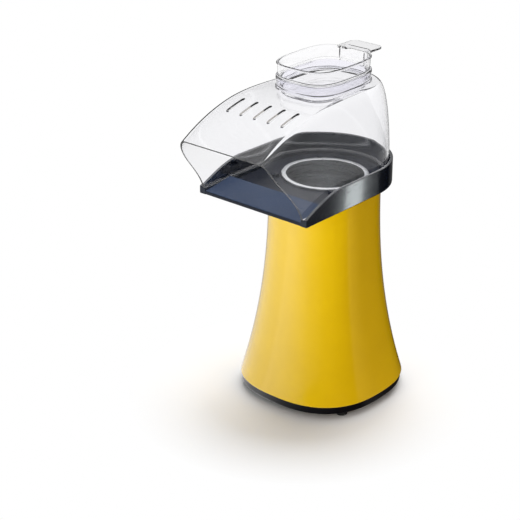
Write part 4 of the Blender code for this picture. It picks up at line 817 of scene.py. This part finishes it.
def paint_shade_front_and_below(thing, other):
    """Give the front end and the underside of a piece a second look: a darker painted shade."""
    thing.data.materials.append(other)
    front_end = AXIS_Y - TRAY_REACH + 2.0 * MM
    for face in thing.data.polygons:
        below = face.normal.z < -0.5
        in_front = face.normal.y < -0.75 and face.center.y < front_end
        if below or in_front:
            face.material_index = 1


def tray_band_top(y):
    """Height of the band's top: low at the chute's front, curving up to its full height."""
    climb = min(max((y + TRAY_REACH) / TRAY_BAND_RISE, 0.0), 1.0)
    rise = (TRAY_BAND_HEIGHT - TRAY_BAND_LOW) * math.sin(climb * math.pi / 2)
    return TRAY_BOTTOM + TRAY_BAND_LOW + rise


TRAY_INNER = HOOD_HALF_WIDTH - HOOD_TOE_IN - HOOD_WALL - SLIDE_GAP - TRAY_KEY


def make_tray_band():
    """The outer band with the ledge that carries the hood, swept round the tray."""
    section_radii = [0.7 * MM, 0.7 * MM, 0.7 * MM, 0.4 * MM, 0.6 * MM, 0.3 * MM]
    rings = []

    def section(way, base, y, inset=0.0):
        top = tray_band_top(y) - inset
        low = TRAY_BOTTOM + inset
        ledge = TRAY_HALF_WIDTH - TRAY_INNER
        outline = [(inset, low), (inset, top), (TRAY_WALL - inset, top), (TRAY_WALL - inset, LEDGE_TOP - inset),
                   (ledge - inset, LEDGE_TOP - inset), (ledge - inset, low)]
        return [(base.x - way.x * inward, base.y - way.y * inward, height)
                for inward, height in soften(outline, section_radii, 3)]

    side_steps = 44
    corner = 0.6 * MM
    sideways = Vector((1.0, 0.0))
    for inset, ahead in ((corner, 0.0), (corner * 0.3, corner * 0.35), (0.0, corner)):
        y = -TRAY_REACH + ahead
        rings.append(section(sideways, Vector((TRAY_HALF_WIDTH, y)), y, inset))
    for i in range(1, side_steps):
        y = -TRAY_REACH + corner + (TRAY_REACH - corner) * i / side_steps
        rings.append(section(sideways, Vector((TRAY_HALF_WIDTH, y)), y))
    rear_steps = 72
    for i in range(rear_steps + 1):
        angle = math.pi * i / rear_steps
        way = Vector((math.cos(angle), math.sin(angle)))
        rings.append(section(way, way * TRAY_HALF_WIDTH, 0.0))
    mirrored = [[(-x, y, z) for x, y, z in ring] for ring in rings[:side_steps + 2]]
    rings += reversed(mirrored)
    band = thing_of("tray_band", skin_rings(bmesh.new(), rings))
    own(band, NAVY, "root", ["chute_tray"])
    paint_shade_front_and_below(band, TRAY_PAINTED_SHADE)


def make_tray_floor():
    """The floor round the chamber's mouth, with its bosses and the spigot below."""
    front = -TRAY_RIDGE - TRAY_SKIN / 2
    mouth = CHAMBER_RADIUS + SLIDE_GAP
    side = TRAY_INNER + 0.6 * MM
    angles = [math.tau * i / 144 for i in range(144)]
    angles += [math.atan2(front, side) % math.tau, math.atan2(front, -side) % math.tau]
    angles.sort()

    def ring(share, height):
        points = []
        for angle in angles:
            c, s = math.cos(angle), math.sin(angle)
            reach = side
            if s < 0.0:
                reach = min(side / max(abs(c), 1e-9), -front / max(-s, 1e-9))
            radius = mouth + (reach - mouth) * share
            points.append((radius * c, radius * s, height))
        return points

    edge = 0.03
    rings = [ring(1.0, TRAY_BOTTOM), ring(1.0, TRAY_FLOOR_TOP), ring(0.5, TRAY_FLOOR_TOP),
             ring(edge, TRAY_FLOOR_TOP), ring(edge * 0.3, TRAY_FLOOR_TOP - 0.2 * MM),
             ring(0.0, TRAY_FLOOR_TOP - 0.6 * MM), ring(0.0, TRAY_BOTTOM)]
    bm = skin_rings(bmesh.new(), rings, closed=True)
    spigot = HOUSING_TOP_RADIUS - HOUSING_WALL - SLIDE_GAP
    low, high = TRAY_BOTTOM - SPIGOT_DEPTH, TRAY_BOTTOM + TRAY_FLOOR / 2
    skin_rings(bm, [housing_ring(spigot - 0.4 * MM, low), housing_ring(spigot, low + 0.8 * MM),
                    housing_ring(spigot, high), housing_ring(spigot - SPIGOT_WALL, high),
                    housing_ring(spigot - SPIGOT_WALL, low)], closed=True)
    ear = DIAGONAL * (spigot - SPIGOT_WALL) - SLIDE_GAP - SCREW_HEAD_RADIUS - SLIDE_GAP
    offset = ear * math.sqrt(0.5)
    boss = SCREW_RADIUS + 2 * MM
    top = TRAY_FLOOR_TOP + 3.0 * MM
    for spot in four_corners(offset):
        turn(bm, [(0.0, TRAY_FLOOR_TOP - MM), (boss, TRAY_FLOOR_TOP - MM), (boss, top - 0.7 * MM),
                  (boss - 0.3 * MM, top - 0.2 * MM), (boss - 0.9 * MM, top), (0.0, top)], 32, spot)
    # The floor round the mouth takes the near-black look, painted shade for the shadowed recess behind the
    # ridge.
    own(thing_of("tray_floor", bm), TRAY_PAINTED_SHADE, "root")


def make_tray_slope():
    """The sloping floor that the popcorn slides down, with its rolled front lip."""
    front = -TRAY_REACH + GAP
    low = TRAY_BOTTOM + GAP
    lip = TRAY_BOTTOM + TRAY_LIP_HEIGHT
    ridge = TRAY_BOTTOM + TRAY_RIDGE_HEIGHT
    half = TRAY_INNER + TRAY_KEY
    outline = [
        (front, low), (front, lip), (-TRAY_RIDGE, ridge), (-TRAY_RIDGE, low),
        (-TRAY_RIDGE - TRAY_SKIN, low), (-TRAY_RIDGE - TRAY_SKIN, ridge - TRAY_SKIN),
        (front + TRAY_SKIN, lip - TRAY_SKIN * 0.8), (front + TRAY_SKIN, low),
    ]
    radii = [0.5 * MM, 1.5 * MM, 1.0 * MM, 0.3 * MM, 0.3 * MM, 0.8 * MM, 0.8 * MM, 0.3 * MM]
    outline = soften(outline, radii, 6)
    steps = 12
    across = [-half + 2 * half * i / steps for i in range(steps + 1)]
    slope = thing_of("tray_slope", skin_rings(bmesh.new(), [[(x, y, z) for y, z in outline] for x in across]))
    own(slope, SLATE, "root")
    paint_shade_front_and_below(slope, TRAY_PAINTED_SHADE)


# ---------------------------------------------------------------- hood


def hood_roof(y):
    """Height of the roof at y: level at the rear, dropping to the lip."""
    ahead = max(-HOOD_DROP_START - y, 0.0) / (HOOD_REACH - HOOD_DROP_START)
    return HOOD_TOP - HOOD_LIP_DROP * ahead ** HOOD_DROP_POWER


def hood_crease(y):
    """Half the width between the roof's two creases at y."""
    share = min(max(-y / HOOD_REACH, 0.0), 1.0)
    blend = 0.5 - 0.5 * math.cos(math.pi * min(share / 0.6, 1.0))
    return HOOD_CREASE_WAIST + (HOOD_LIP_HALF_WIDTH - HOOD_CREASE_WAIST) * blend


def hood_columns(side_steps, rear_steps):
    """Foot and crease points of the wall, from the chute's right side round the rear to its left."""
    columns = []
    for i in range(side_steps):
        y = -TRAY_REACH * (1.0 - i / side_steps)
        ahead = max(-HOOD_LEAN_START - y, 0.0) / (TRAY_REACH - HOOD_LEAN_START)
        crease_y = y - (HOOD_REACH - TRAY_REACH) * ahead
        foot = Vector((HOOD_HALF_WIDTH - HOOD_TOE_IN * ahead, y))
        columns.append((foot, Vector((hood_crease(crease_y), crease_y))))
    for i in range(rear_steps + 1):
        angle = math.pi * i / rear_steps
        way = Vector((math.cos(angle), math.sin(angle)))
        fold = min(min(angle, math.pi - angle) * 1.8, math.pi / 2)
        crease = HOOD_CREASE_WAIST + (HOOD_CREASE_REAR - HOOD_CREASE_WAIST) * math.sin(fold)
        columns.append((way * HOOD_HALF_WIDTH, way * crease))
    for foot, crease in reversed(columns[:side_steps]):
        columns.append((Vector((-foot.x, foot.y)), Vector((-crease.x, crease.y))))
    return columns


def hood_point(foot, crease, share):
    """A point of the rounded wall, from its foot (share 0) up to its crease (share 1)."""
    angle = share * math.pi / 2
    inwards = 1.0 - max(math.cos(angle), 0.0) ** (2.0 / HOOD_WALL_POWER)
    upwards = math.sin(angle) ** (2.0 / HOOD_WALL_POWER)
    sweep = 0.5 * upwards + 0.25 * (1.0 - math.cos(math.pi * upwards))
    forwards = sweep if foot.y < 0.0 else inwards
    x = foot.x + (crease.x - foot.x) * inwards
    y = foot.y + (crease.y - foot.y) * forwards
    return (x, y, HOOD_FOOT + (hood_roof(crease.y) - HOOD_FOOT) * upwards)


def slot_outline(x, y, width, length, steps=8):
    radius = width / 2
    straight = length / 2 - radius
    points = []
    for end, start in ((1, 0.0), (-1, math.pi)):
        for i in range(steps + 1):
            angle = start + math.pi * i / steps
            points.append((x + radius * math.cos(angle), y + end * straight + radius * math.sin(angle)))
    return points


def make_hood_shell():
    """The clear hood: a walled skin, cut for the neck and the vents, with its neck ring added."""
    columns = hood_columns(30, 60)
    rows = 22
    bm = bmesh.new()
    grid = [[bm.verts.new(hood_point(foot, crease, row / rows)) for row in range(rows + 1)]
            for foot, crease in columns]
    for near, far in zip(grid, grid[1:]):
        for row in range(rows):
            bm.faces.new((near[row], far[row], far[row + 1], near[row + 1]))
    count = len(grid)
    front = sum(1 for foot, crease in columns if foot.y < 0.0) // 2
    for i in range(front):
        bm.faces.new((grid[i][-1], grid[i + 1][-1], grid[count - 2 - i][-1], grid[count - 1 - i][-1]))
    bm.faces.new([column[-1] for column in grid[front:count - front]])
    bmesh.ops.recalc_face_normals(bm, faces=bm.faces)
    crown = max(bm.faces, key=lambda face: face.calc_center_median().z)
    if crown.normal.z < 0.0:
        bmesh.ops.reverse_faces(bm, faces=bm.faces)
    bmesh.ops.translate(bm, verts=bm.verts, vec=(0.0, AXIS_Y, 0.0))
    mesh = bpy.data.meshes.new("hood_shell")
    bm.to_mesh(mesh)
    bm.free()
    hood = place("hood_shell", mesh)
    wall = hood.modifiers.new("wall", "SOLIDIFY")
    wall.thickness = HOOD_WALL
    wall.offset = -1.0
    wall.use_even_offset = True
    settle(hood)
    hole = [neck_ring(NECK_WALL / 2, z) for z in (HOOD_TOP - 8 * MM, HOOD_TOP + 8 * MM)]
    combine(hood, thing_of("neck_hole", skin_rings(bmesh.new(), hole)), "DIFFERENCE")
    vents = bmesh.new()
    for i in range(VENT_COUNT):
        x = (i - (VENT_COUNT - 1) / 2) * VENT_SPACING
        outline = slot_outline(x, -VENT_CENTRE, VENT_WIDTH, VENT_LENGTH)
        skin_rings(vents, lay_flat(outline, (HOOD_TOP - 30 * MM, HOOD_TOP + 10 * MM)))
    combine(hood, thing_of("vents", vents), "DIFFERENCE")
    low = HOOD_TOP - HOOD_WALL * 0.7
    section = [
        (0.0, low), (-NECK_BEAD, HOOD_TOP - HOOD_WALL * 0.2), (-NECK_BEAD, HOOD_TOP + 1.2 * MM),
        (0.0, HOOD_TOP + 2.2 * MM), (0.0, NECK_TOP - 2.0 * MM), (-NECK_BEAD * 0.6, NECK_TOP - 1.4 * MM),
        (-NECK_BEAD * 0.6, NECK_TOP), (NECK_WALL, NECK_TOP), (NECK_WALL, low),
    ]
    radii = [0.0, 0.0, 0.6 * MM, 0.8 * MM, 0.6 * MM, 0.4 * MM, 0.5 * MM, 0.5 * MM, 0.0]
    rings = [neck_ring(inset, height) for inset, height in soften(section, radii, 3)]
    combine(hood, thing_of("neck", skin_rings(bmesh.new(), rings, closed=True)), "UNION")
    own(hood, CLEAR, "hood", ["hood"])
    hood.data.materials.append(CLEAR_SLOT_SHADE)
    hood.data.materials.append(CLEAR_RING)
    # Upright faces at the vents get the painted shade look; faces above the roof get the neck ring's look.
    for face in hood.data.polygons:
        upright = abs(face.normal.z) < 0.3
        along = abs(face.center.y - AXIS_Y + VENT_CENTRE)
        if upright and along < VENT_LENGTH * 0.6 and abs(face.center.x) < VENT_BAND:
            face.material_index = 1
        elif face.center.z > HOOD_TOP + GAP:
            face.material_index = 2


# ---------------------------------------------------------------- measuring cup


def tab_outline(half_width, front, rear, corner, steps=8):
    points = [(-half_width, front), (half_width, front)]
    for side, start in ((1, 0.0), (-1, math.pi / 2)):
        for i in range(steps + 1):
            angle = start + math.pi / 2 * i / steps
            points.append((side * (half_width - corner) + corner * math.cos(angle),
                           rear - corner + corner * math.sin(angle)))
    return points


def make_cup():
    """The cup hanging in the neck by its flange, with its rear tab and the web under it."""
    hang = NECK_WALL + SLIDE_GAP + 0.5 * MM
    wall = CUP_WALL
    section = [
        (hang + CUP_DRAFT + 2 * MM, CUP_BOTTOM), (hang + CUP_DRAFT, CUP_BOTTOM + 2 * MM),
        (hang, CUP_FLANGE_BOTTOM),
        (-0.7 * MM, CUP_FLANGE_BOTTOM), (-0.7 * MM, CUP_FLANGE_TOP), (0.9 * MM, CUP_FLANGE_TOP),
        (0.5 * MM, CUP_TOP - CUP_RIM), (-0.4 * MM, CUP_TOP - CUP_RIM * 0.7), (-0.4 * MM, CUP_TOP),
        (0.5 * MM + wall, CUP_TOP), (0.9 * MM + wall, CUP_FLANGE_TOP + 0.5 * MM),
        (hang + wall, CUP_FLANGE_BOTTOM - 0.5 * MM), (hang + CUP_DRAFT + wall, CUP_BOTTOM + wall + 1.2 * MM),
        (hang + CUP_DRAFT + wall + 1.5 * MM, CUP_BOTTOM + wall),
    ]
    radii = [1.0 * MM, 1.2 * MM, 0.3 * MM, 0.5 * MM, 0.5 * MM, 0.5 * MM, 0.3 * MM, 0.4 * MM, 0.5 * MM,
             0.5 * MM, 0.6 * MM, 0.6 * MM, 0.6 * MM, 0.6 * MM]
    rings = [neck_ring(inset, height) for inset, height in soften(section, radii, 3, closed=False)]
    cup = thing_of("cup_shell", skin_rings(bmesh.new(), rings))
    start = NECK_CENTRE + NECK_HALF_LENGTH - 1.6 * MM
    low = CUP_TOP - HANDLE_THICKNESS
    tab_edge = 0.9 * MM

    def tab(inset):
        return tab_outline(HANDLE_HALF_WIDTH - inset, start, HANDLE_REACH - inset, HANDLE_CORNER - inset)

    combine(cup, thing_of("tab", slab(bmesh.new(), tab, low, CUP_TOP - GAP, tab_edge)), "UNION")
    web = 2.0 * MM
    outer_x, reach = HANDLE_WEB_HALF_WIDTH, HANDLE_WEB_REACH
    round_in = 2.0 * MM
    outline = soften([(-outer_x, start), (-outer_x, reach), (outer_x, reach), (outer_x, start),
                      (outer_x - web, start), (outer_x - web, reach - web), (web - outer_x, reach - web),
                      (web - outer_x, start)],
                     [0.0, round_in + web, round_in + web, 0.0, 0.0, round_in, round_in, 0.0], 5)
    bm = skin_rings(bmesh.new(), lay_flat(outline, (CUP_FLANGE_TOP - MM, low + tab_edge)))
    combine(cup, thing_of("web", bm), "UNION")
    own(cup, CLEAR_CUP, "cup", ["measuring_cup"])


# ---------------------------------------------------------------- popping chamber


def make_chamber():
    """The spun pot: coned bottom, a bead below its mouth, a rolled rim, and skewed air louvres."""
    inner = CHAMBER_RADIUS - CHAMBER_WALL
    rim = CHAMBER_RADIUS + CHAMBER_RIM
    bottom, top = CHAMBER_BOTTOM, CHAMBER_RIM_TOP
    floor = bottom + CHAMBER_CONE
    bead = 0.5 * MM
    profile = [
        (0.0, floor + CHAMBER_WALL), (inner * 0.5, bottom + CHAMBER_CONE * 0.6 + CHAMBER_WALL),
        (inner - 3 * MM, bottom + CHAMBER_WALL), (inner - 1.0 * MM, bottom + 1.6 * MM), (inner, bottom + 3 * MM),
        (inner, top - 22 * MM), (inner - bead, top - 21 * MM), (inner - bead, top - 18 * MM),
        (inner, top - 17 * MM), (inner, top - 1.0 * MM), (inner + 0.35 * MM, top - 0.35 * MM),
        (inner + 1.2 * MM, top), (rim - 1.0 * MM, top), (rim - 0.3 * MM, top - 0.3 * MM),
        (rim, top - 0.8 * MM), (rim, CHAMBER_RIM_BOTTOM), (CHAMBER_RADIUS, CHAMBER_RIM_BOTTOM),
        (CHAMBER_RADIUS, bottom + 2 * MM), (CHAMBER_RADIUS - 0.9 * MM, bottom + 0.6 * MM),
        (CHAMBER_RADIUS - 3 * MM, bottom), (0.0, floor),
    ]
    chamber = thing_of("chamber_can", turn(bmesh.new(), profile, 112))
    middle = bottom + 5 * MM + LOUVRE_HEIGHT / 2
    radius = CHAMBER_RADIUS - CHAMBER_WALL / 2
    blade = Matrix.Diagonal((8 * MM, LOUVRE_WIDTH, LOUVRE_HEIGHT, 1.0))
    louvres = bmesh.new()
    for i in range(LOUVRE_COUNT):
        angle = math.tau * i / LOUVRE_COUNT
        spot = Matrix.Translation((radius * math.cos(angle), radius * math.sin(angle), middle))
        spot = spot @ Matrix.Rotation(angle + LOUVRE_SKEW, 4, "Z") @ blade
        bmesh.ops.create_cube(louvres, size=1.0, matrix=spot)
    combine(chamber, thing_of("louvres", louvres), "DIFFERENCE")
    own(chamber, ALUMINIUM, "root", ["popping_chamber"])


# ---------------------------------------------------------------- cord inlet


def make_inlet():
    """The rubber grommet that the cord would pass through, gripping the wall from both sides."""
    flange = GROMMET_RADIUS + GROMMET_FLANGE
    lip = GROMMET_RADIUS + 1.2 * MM
    behind = -HOUSING_WALL - SLIDE_GAP
    profile = [
        (GROMMET_BORE + 0.4 * MM, 4.5 * MM), (GROMMET_BORE + 1.2 * MM, 4.4 * MM),
        (GROMMET_BORE + 1.9 * MM, 4.0 * MM), (flange - 1.6 * MM, 3.3 * MM), (flange - 0.5 * MM, 2.8 * MM),
        (flange, 2.1 * MM), (flange, SLIDE_GAP + 0.2 * MM), (flange - 0.2 * MM, SLIDE_GAP),
        (GROMMET_RADIUS, SLIDE_GAP), (GROMMET_RADIUS, behind), (lip, behind),
        (lip - 0.6 * MM, behind - 2 * MM), (GROMMET_BORE, behind - 2 * MM), (GROMMET_BORE, 4.1 * MM),
    ]
    turned = turn(bmesh.new(), profile, 56, closed=True)
    grommet = thing_of("inlet_grommet", turned, wall_seat(GROMMET_HEIGHT))
    own(grommet, RUBBER, "root", ["cord_grommet"])


# ---------------------------------------------------------------- kept CAD nodes

KEPT_LOOKS = {
    "fan_housing": ALUMINIUM, "fan_impeller": ALUMINIUM, "heater_duct": STEEL, "thermal_fuse": STEEL,
    "mica_plate_a": MICA, "mica_plate_b": MICA, "heater_coil": NICHROME, "motor_can": STEEL,
    "motor_end_cap": BLACK, "motor_front_bush": BRONZE, "motor_rear_bush": BRONZE, "motor_armature": STEEL,
    "motor_commutator": COPPER, "motor_magnet_1": FERRITE, "motor_magnet_2": FERRITE, "motor_shaft": STEEL,
    "thermostat": BLACK, "rectifier_board": BOARD, "switch_body": BLACK, "switch_rocker": RED,
    "motor_lead_1": LEAD_RED, "motor_lead_2": LEAD_BLACK, "switch_lead": LEAD_WHITE,
}


WELD_REACH = 0.01 * MM
KEPT_EDGE = 0.25 * MM
KEPT_EDGE_ANGLE = math.radians(40.0)


def dress_kept_nodes():
    """Give every CAD node that stays in sight its look and softly broken edges."""
    for name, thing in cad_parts.items():
        if thing.hide_render:
            continue
        look = KEPT_LOOKS.get(name, STEEL)
        for slot in thing.material_slots:
            slot.material = look
        weld = thing.modifiers.new("weld", "WELD")
        weld.merge_threshold = WELD_REACH
        bevel = thing.modifiers.new("soft_edges", "BEVEL")
        bevel.width = KEPT_EDGE
        bevel.segments = 2
        bevel.limit_method = "ANGLE"
        bevel.angle_limit = KEPT_EDGE_ANGLE
        bevel.use_clamp_overlap = True


make_housing_shell()
make_base()
make_rubber_feet()
make_tray_band()
make_tray_floor()
make_tray_slope()
make_hood_shell()
make_cup()
make_chamber()
make_inlet()
dress_kept_nodes()

# ---------------------------------------------------------------- studio

WHITE = (1.0, 1.0, 1.0)
FLOOR_PAINT = (0.90, 0.895, 0.895)
FLOOR_REACH = (0.3, 0.6, 1.2, 3.0, 8.0, 20.0)
SHADOW_NEAR = 0.100     # nearer the axis than this the floor takes shadow
SHADOW_FAR = 0.19       # further out than this it is plain white
FLOOR_BOUNCE = 0.6      # how much of the white floor lights the piece from below
BOUNCE_LEVEL = 1.5
# white cards round the floor as the gloss sees them: share of a turn, brightness
BOUNCE_CARDS = ((0.0, 0.66), (0.05, 0.80), (0.10, 0.77), (0.137, 0.75), (0.143, 0.96), (0.186, 0.64),
                (0.262, 0.22), (0.353, 0.04), (0.45, 0.0), (0.530, 0.0), (0.540, 0.09), (0.61, 0.02),
                (0.72, 0.0), (0.88, 0.16), (1.0, 0.66))
ROOM_FILL = 0.36
ROOM_HORIZON = 0.22     # upward part of a direction where the room starts to brighten
ROOM_OVERHEAD = 0.72    # and where it is brightest
ROOM_LOW_GLOSS = 0.03
ROOM_HIGH_GLOSS = 1.4
CAMERA_LENS = 105.23
CAMERA_AZIMUTH = math.radians(40.927)
CAMERA_ELEVATION = math.radians(24.651)
CAMERA_DISTANCE = 1.6258
CAMERA_AIM = (-0.0340, -0.0271, 0.1602)


def mirrored_only(tree):
    """One for rays that a surface mirrored, zero for rays that went through clear plastic."""
    rays = node(tree, "LightPath")
    not_through = math_node(tree, "SUBTRACT", 1.0, rays.outputs["Is Transmission Ray"])
    return math_node(tree, "MULTIPLY", rays.outputs["Is Glossy Ray"], not_through, clamp=True)


def make_floor():
    """White floor that takes shadow near the axis; mirrored rays see cards round it instead."""
    bm = bmesh.new()
    turn(bm, [(0.0, 0.0)] + [(radius, 0.0) for radius in FLOOR_REACH], 96)
    mesh = bpy.data.meshes.new("studio_floor")
    bm.to_mesh(mesh)
    bm.free()
    place("studio_floor", mesh)
    look, tree, shader = new_look("pale_floor")
    tree.nodes.remove(shader)
    paint = fill(node(tree, "BsdfDiffuse"), Color=(*FLOOR_PAINT, 1.0))
    glow = fill(node(tree, "Emission"), Color=(*WHITE, 1.0))
    rays = node(tree, "LightPath")
    join(tree, ramp(tree, rays.outputs["Is Diffuse Ray"], 0.0, 1.0, 1.0, FLOOR_BOUNCE), glow.inputs["Strength"])
    spot = object_place(tree)
    reach = node(tree, "VectorMath", operation="LENGTH")
    join(tree, spot, reach.inputs[0])
    far = ramp(tree, reach.outputs["Value"], SHADOW_NEAR, SHADOW_FAR)
    plain = mixed_shader(tree, far, paint, glow)
    around = node(tree, "TexGradient", gradient_type="RADIAL")
    join(tree, spot, around.inputs["Vector"])
    cards = node(tree, "ValToRGB")
    join(tree, around.outputs["Fac"], cards.inputs["Fac"])
    stops = cards.color_ramp.elements
    while len(stops) > 1:
        stops.remove(stops[-1])
    for number, (share, level) in enumerate(BOUNCE_CARDS):
        stop = stops[0] if number == 0 else stops.new(share)
        stop.position = share
        stop.color = (level, level, level, 1.0)
    bounce = fill(node(tree, "Emission"), Color=(*WHITE, 1.0))
    join(tree, math_node(tree, "MULTIPLY", cards.outputs["Color"], BOUNCE_LEVEL), bounce.inputs["Strength"])
    choose = mixed_shader(tree, mirrored_only(tree), plain, bounce)
    join(tree, choose.outputs[0], tree.nodes["Material Output"].inputs["Surface"])
    look.cycles.emission_sampling = "NONE"
    mesh.materials.append(look)


def softbox(name, spot, aim, size, power, colour=WHITE):
    """A rectangular lamp that the camera doesn't see."""
    light = bpy.data.lights.new(name, "AREA")
    light.shape = "RECTANGLE"
    light.size, light.size_y = size
    light.energy = power
    light.color = colour
    lamp = place(name, light)
    lamp.location = spot
    lamp.visible_camera = False
    lamp.rotation_euler = (Vector(aim) - Vector(spot)).to_track_quat("-Z", "Y").to_euler()
    return lamp


def make_world():
    """White behind everything; mirrored light comes from above and fades to dark at the horizon."""
    world = bpy.data.worlds.new("studio_room")
    bpy.context.scene.world = world
    world.use_nodes = True
    tree = world.node_tree
    room = tree.nodes["Background"]
    room.inputs["Color"].default_value = (*WHITE, 1.0)
    rays = node(tree, "LightPath")
    place_at = node(tree, "TexCoord")
    parts = node(tree, "SeparateXYZ")
    join(tree, place_at.outputs["Generated"], parts.inputs["Vector"])
    height = ramp(tree, parts.outputs["Z"], ROOM_HORIZON, ROOM_OVERHEAD, ROOM_LOW_GLOSS, ROOM_HIGH_GLOSS)
    lit = node(tree, "Mix", data_type="FLOAT")
    join(tree, mirrored_only(tree), lit.inputs[0])
    lit.inputs[2].default_value = ROOM_FILL
    join(tree, height, lit.inputs[3])
    seen = math_node(tree, "MAXIMUM", rays.outputs["Is Camera Ray"], rays.outputs["Is Transmission Ray"])
    mix = node(tree, "Mix", data_type="FLOAT")
    join(tree, seen, mix.inputs[0])
    join(tree, lit.outputs[0], mix.inputs[2])
    mix.inputs[3].default_value = 1.0
    join(tree, mix.outputs[0], room.inputs["Strength"])


def make_camera():
    data = bpy.data.cameras.new("camera")
    data.lens = CAMERA_LENS
    data.sensor_width = 36.0
    data.clip_start = 0.05
    data.clip_end = 60.0
    camera = place("camera", data)
    back = Vector((math.sin(CAMERA_AZIMUTH) * math.cos(CAMERA_ELEVATION),
                   -math.cos(CAMERA_AZIMUTH) * math.cos(CAMERA_ELEVATION), math.sin(CAMERA_ELEVATION)))
    camera.location = Vector(CAMERA_AIM) + back * CAMERA_DISTANCE
    camera.rotation_euler = (math.pi / 2 - CAMERA_ELEVATION, 0.0, CAMERA_AZIMUTH)
    bpy.context.scene.camera = camera


make_floor()
make_world()
make_camera()
key = softbox("key_softbox", (-0.14, -1.95, 0.62), aim=(0.0, 0.0, 0.53), size=(1.2, 1.0),
              power=3.68, colour=(0.955, 1.0, 0.96))
key.data.spread = math.radians(24.0)
top = softbox("top_softbox", (-0.30, 0.50, 1.55), aim=(0.0, 0.0, 0.2), size=(1.3, 1.3), power=26.0)
side = softbox("side_fill", (1.3, -0.15, 0.35), aim=(0.0, 0.04, 0.20), size=(0.6, 0.5),
               power=3.4, colour=(1.0, 0.74, 0.52))
for lamp in (key, top, side):
    lamp.visible_glossy = False
    lamp.visible_transmission = False

# a strip on the floor that the tray's band mirrors, turned to face up, and a lamp for the pot
band_card = softbox("band_card", (0.453, 0.502, 0.004), aim=(0.0, 0.0, 1.0), size=(0.40, 0.024),
                    power=0.13, colour=(0.92, 0.99, 1.0))
band_card.rotation_euler = (math.pi, 0.0, math.radians(52.9))
chamber_lamp = softbox("chamber_softbox", (-0.45, 0.72, 1.0), aim=(0.0, 0.04, 0.24), size=(0.8, 0.8), power=8.0)
for lamp, piece in ((band_card, "tray_band"), (chamber_lamp, "chamber_can")):
    only = bpy.data.collections.new(lamp.name + "_lights")
    only.objects.link(bpy.data.objects[piece])
    lamp.light_linking.receiver_collection = only

bpy.context.scene.view_settings.view_transform = "Standard"
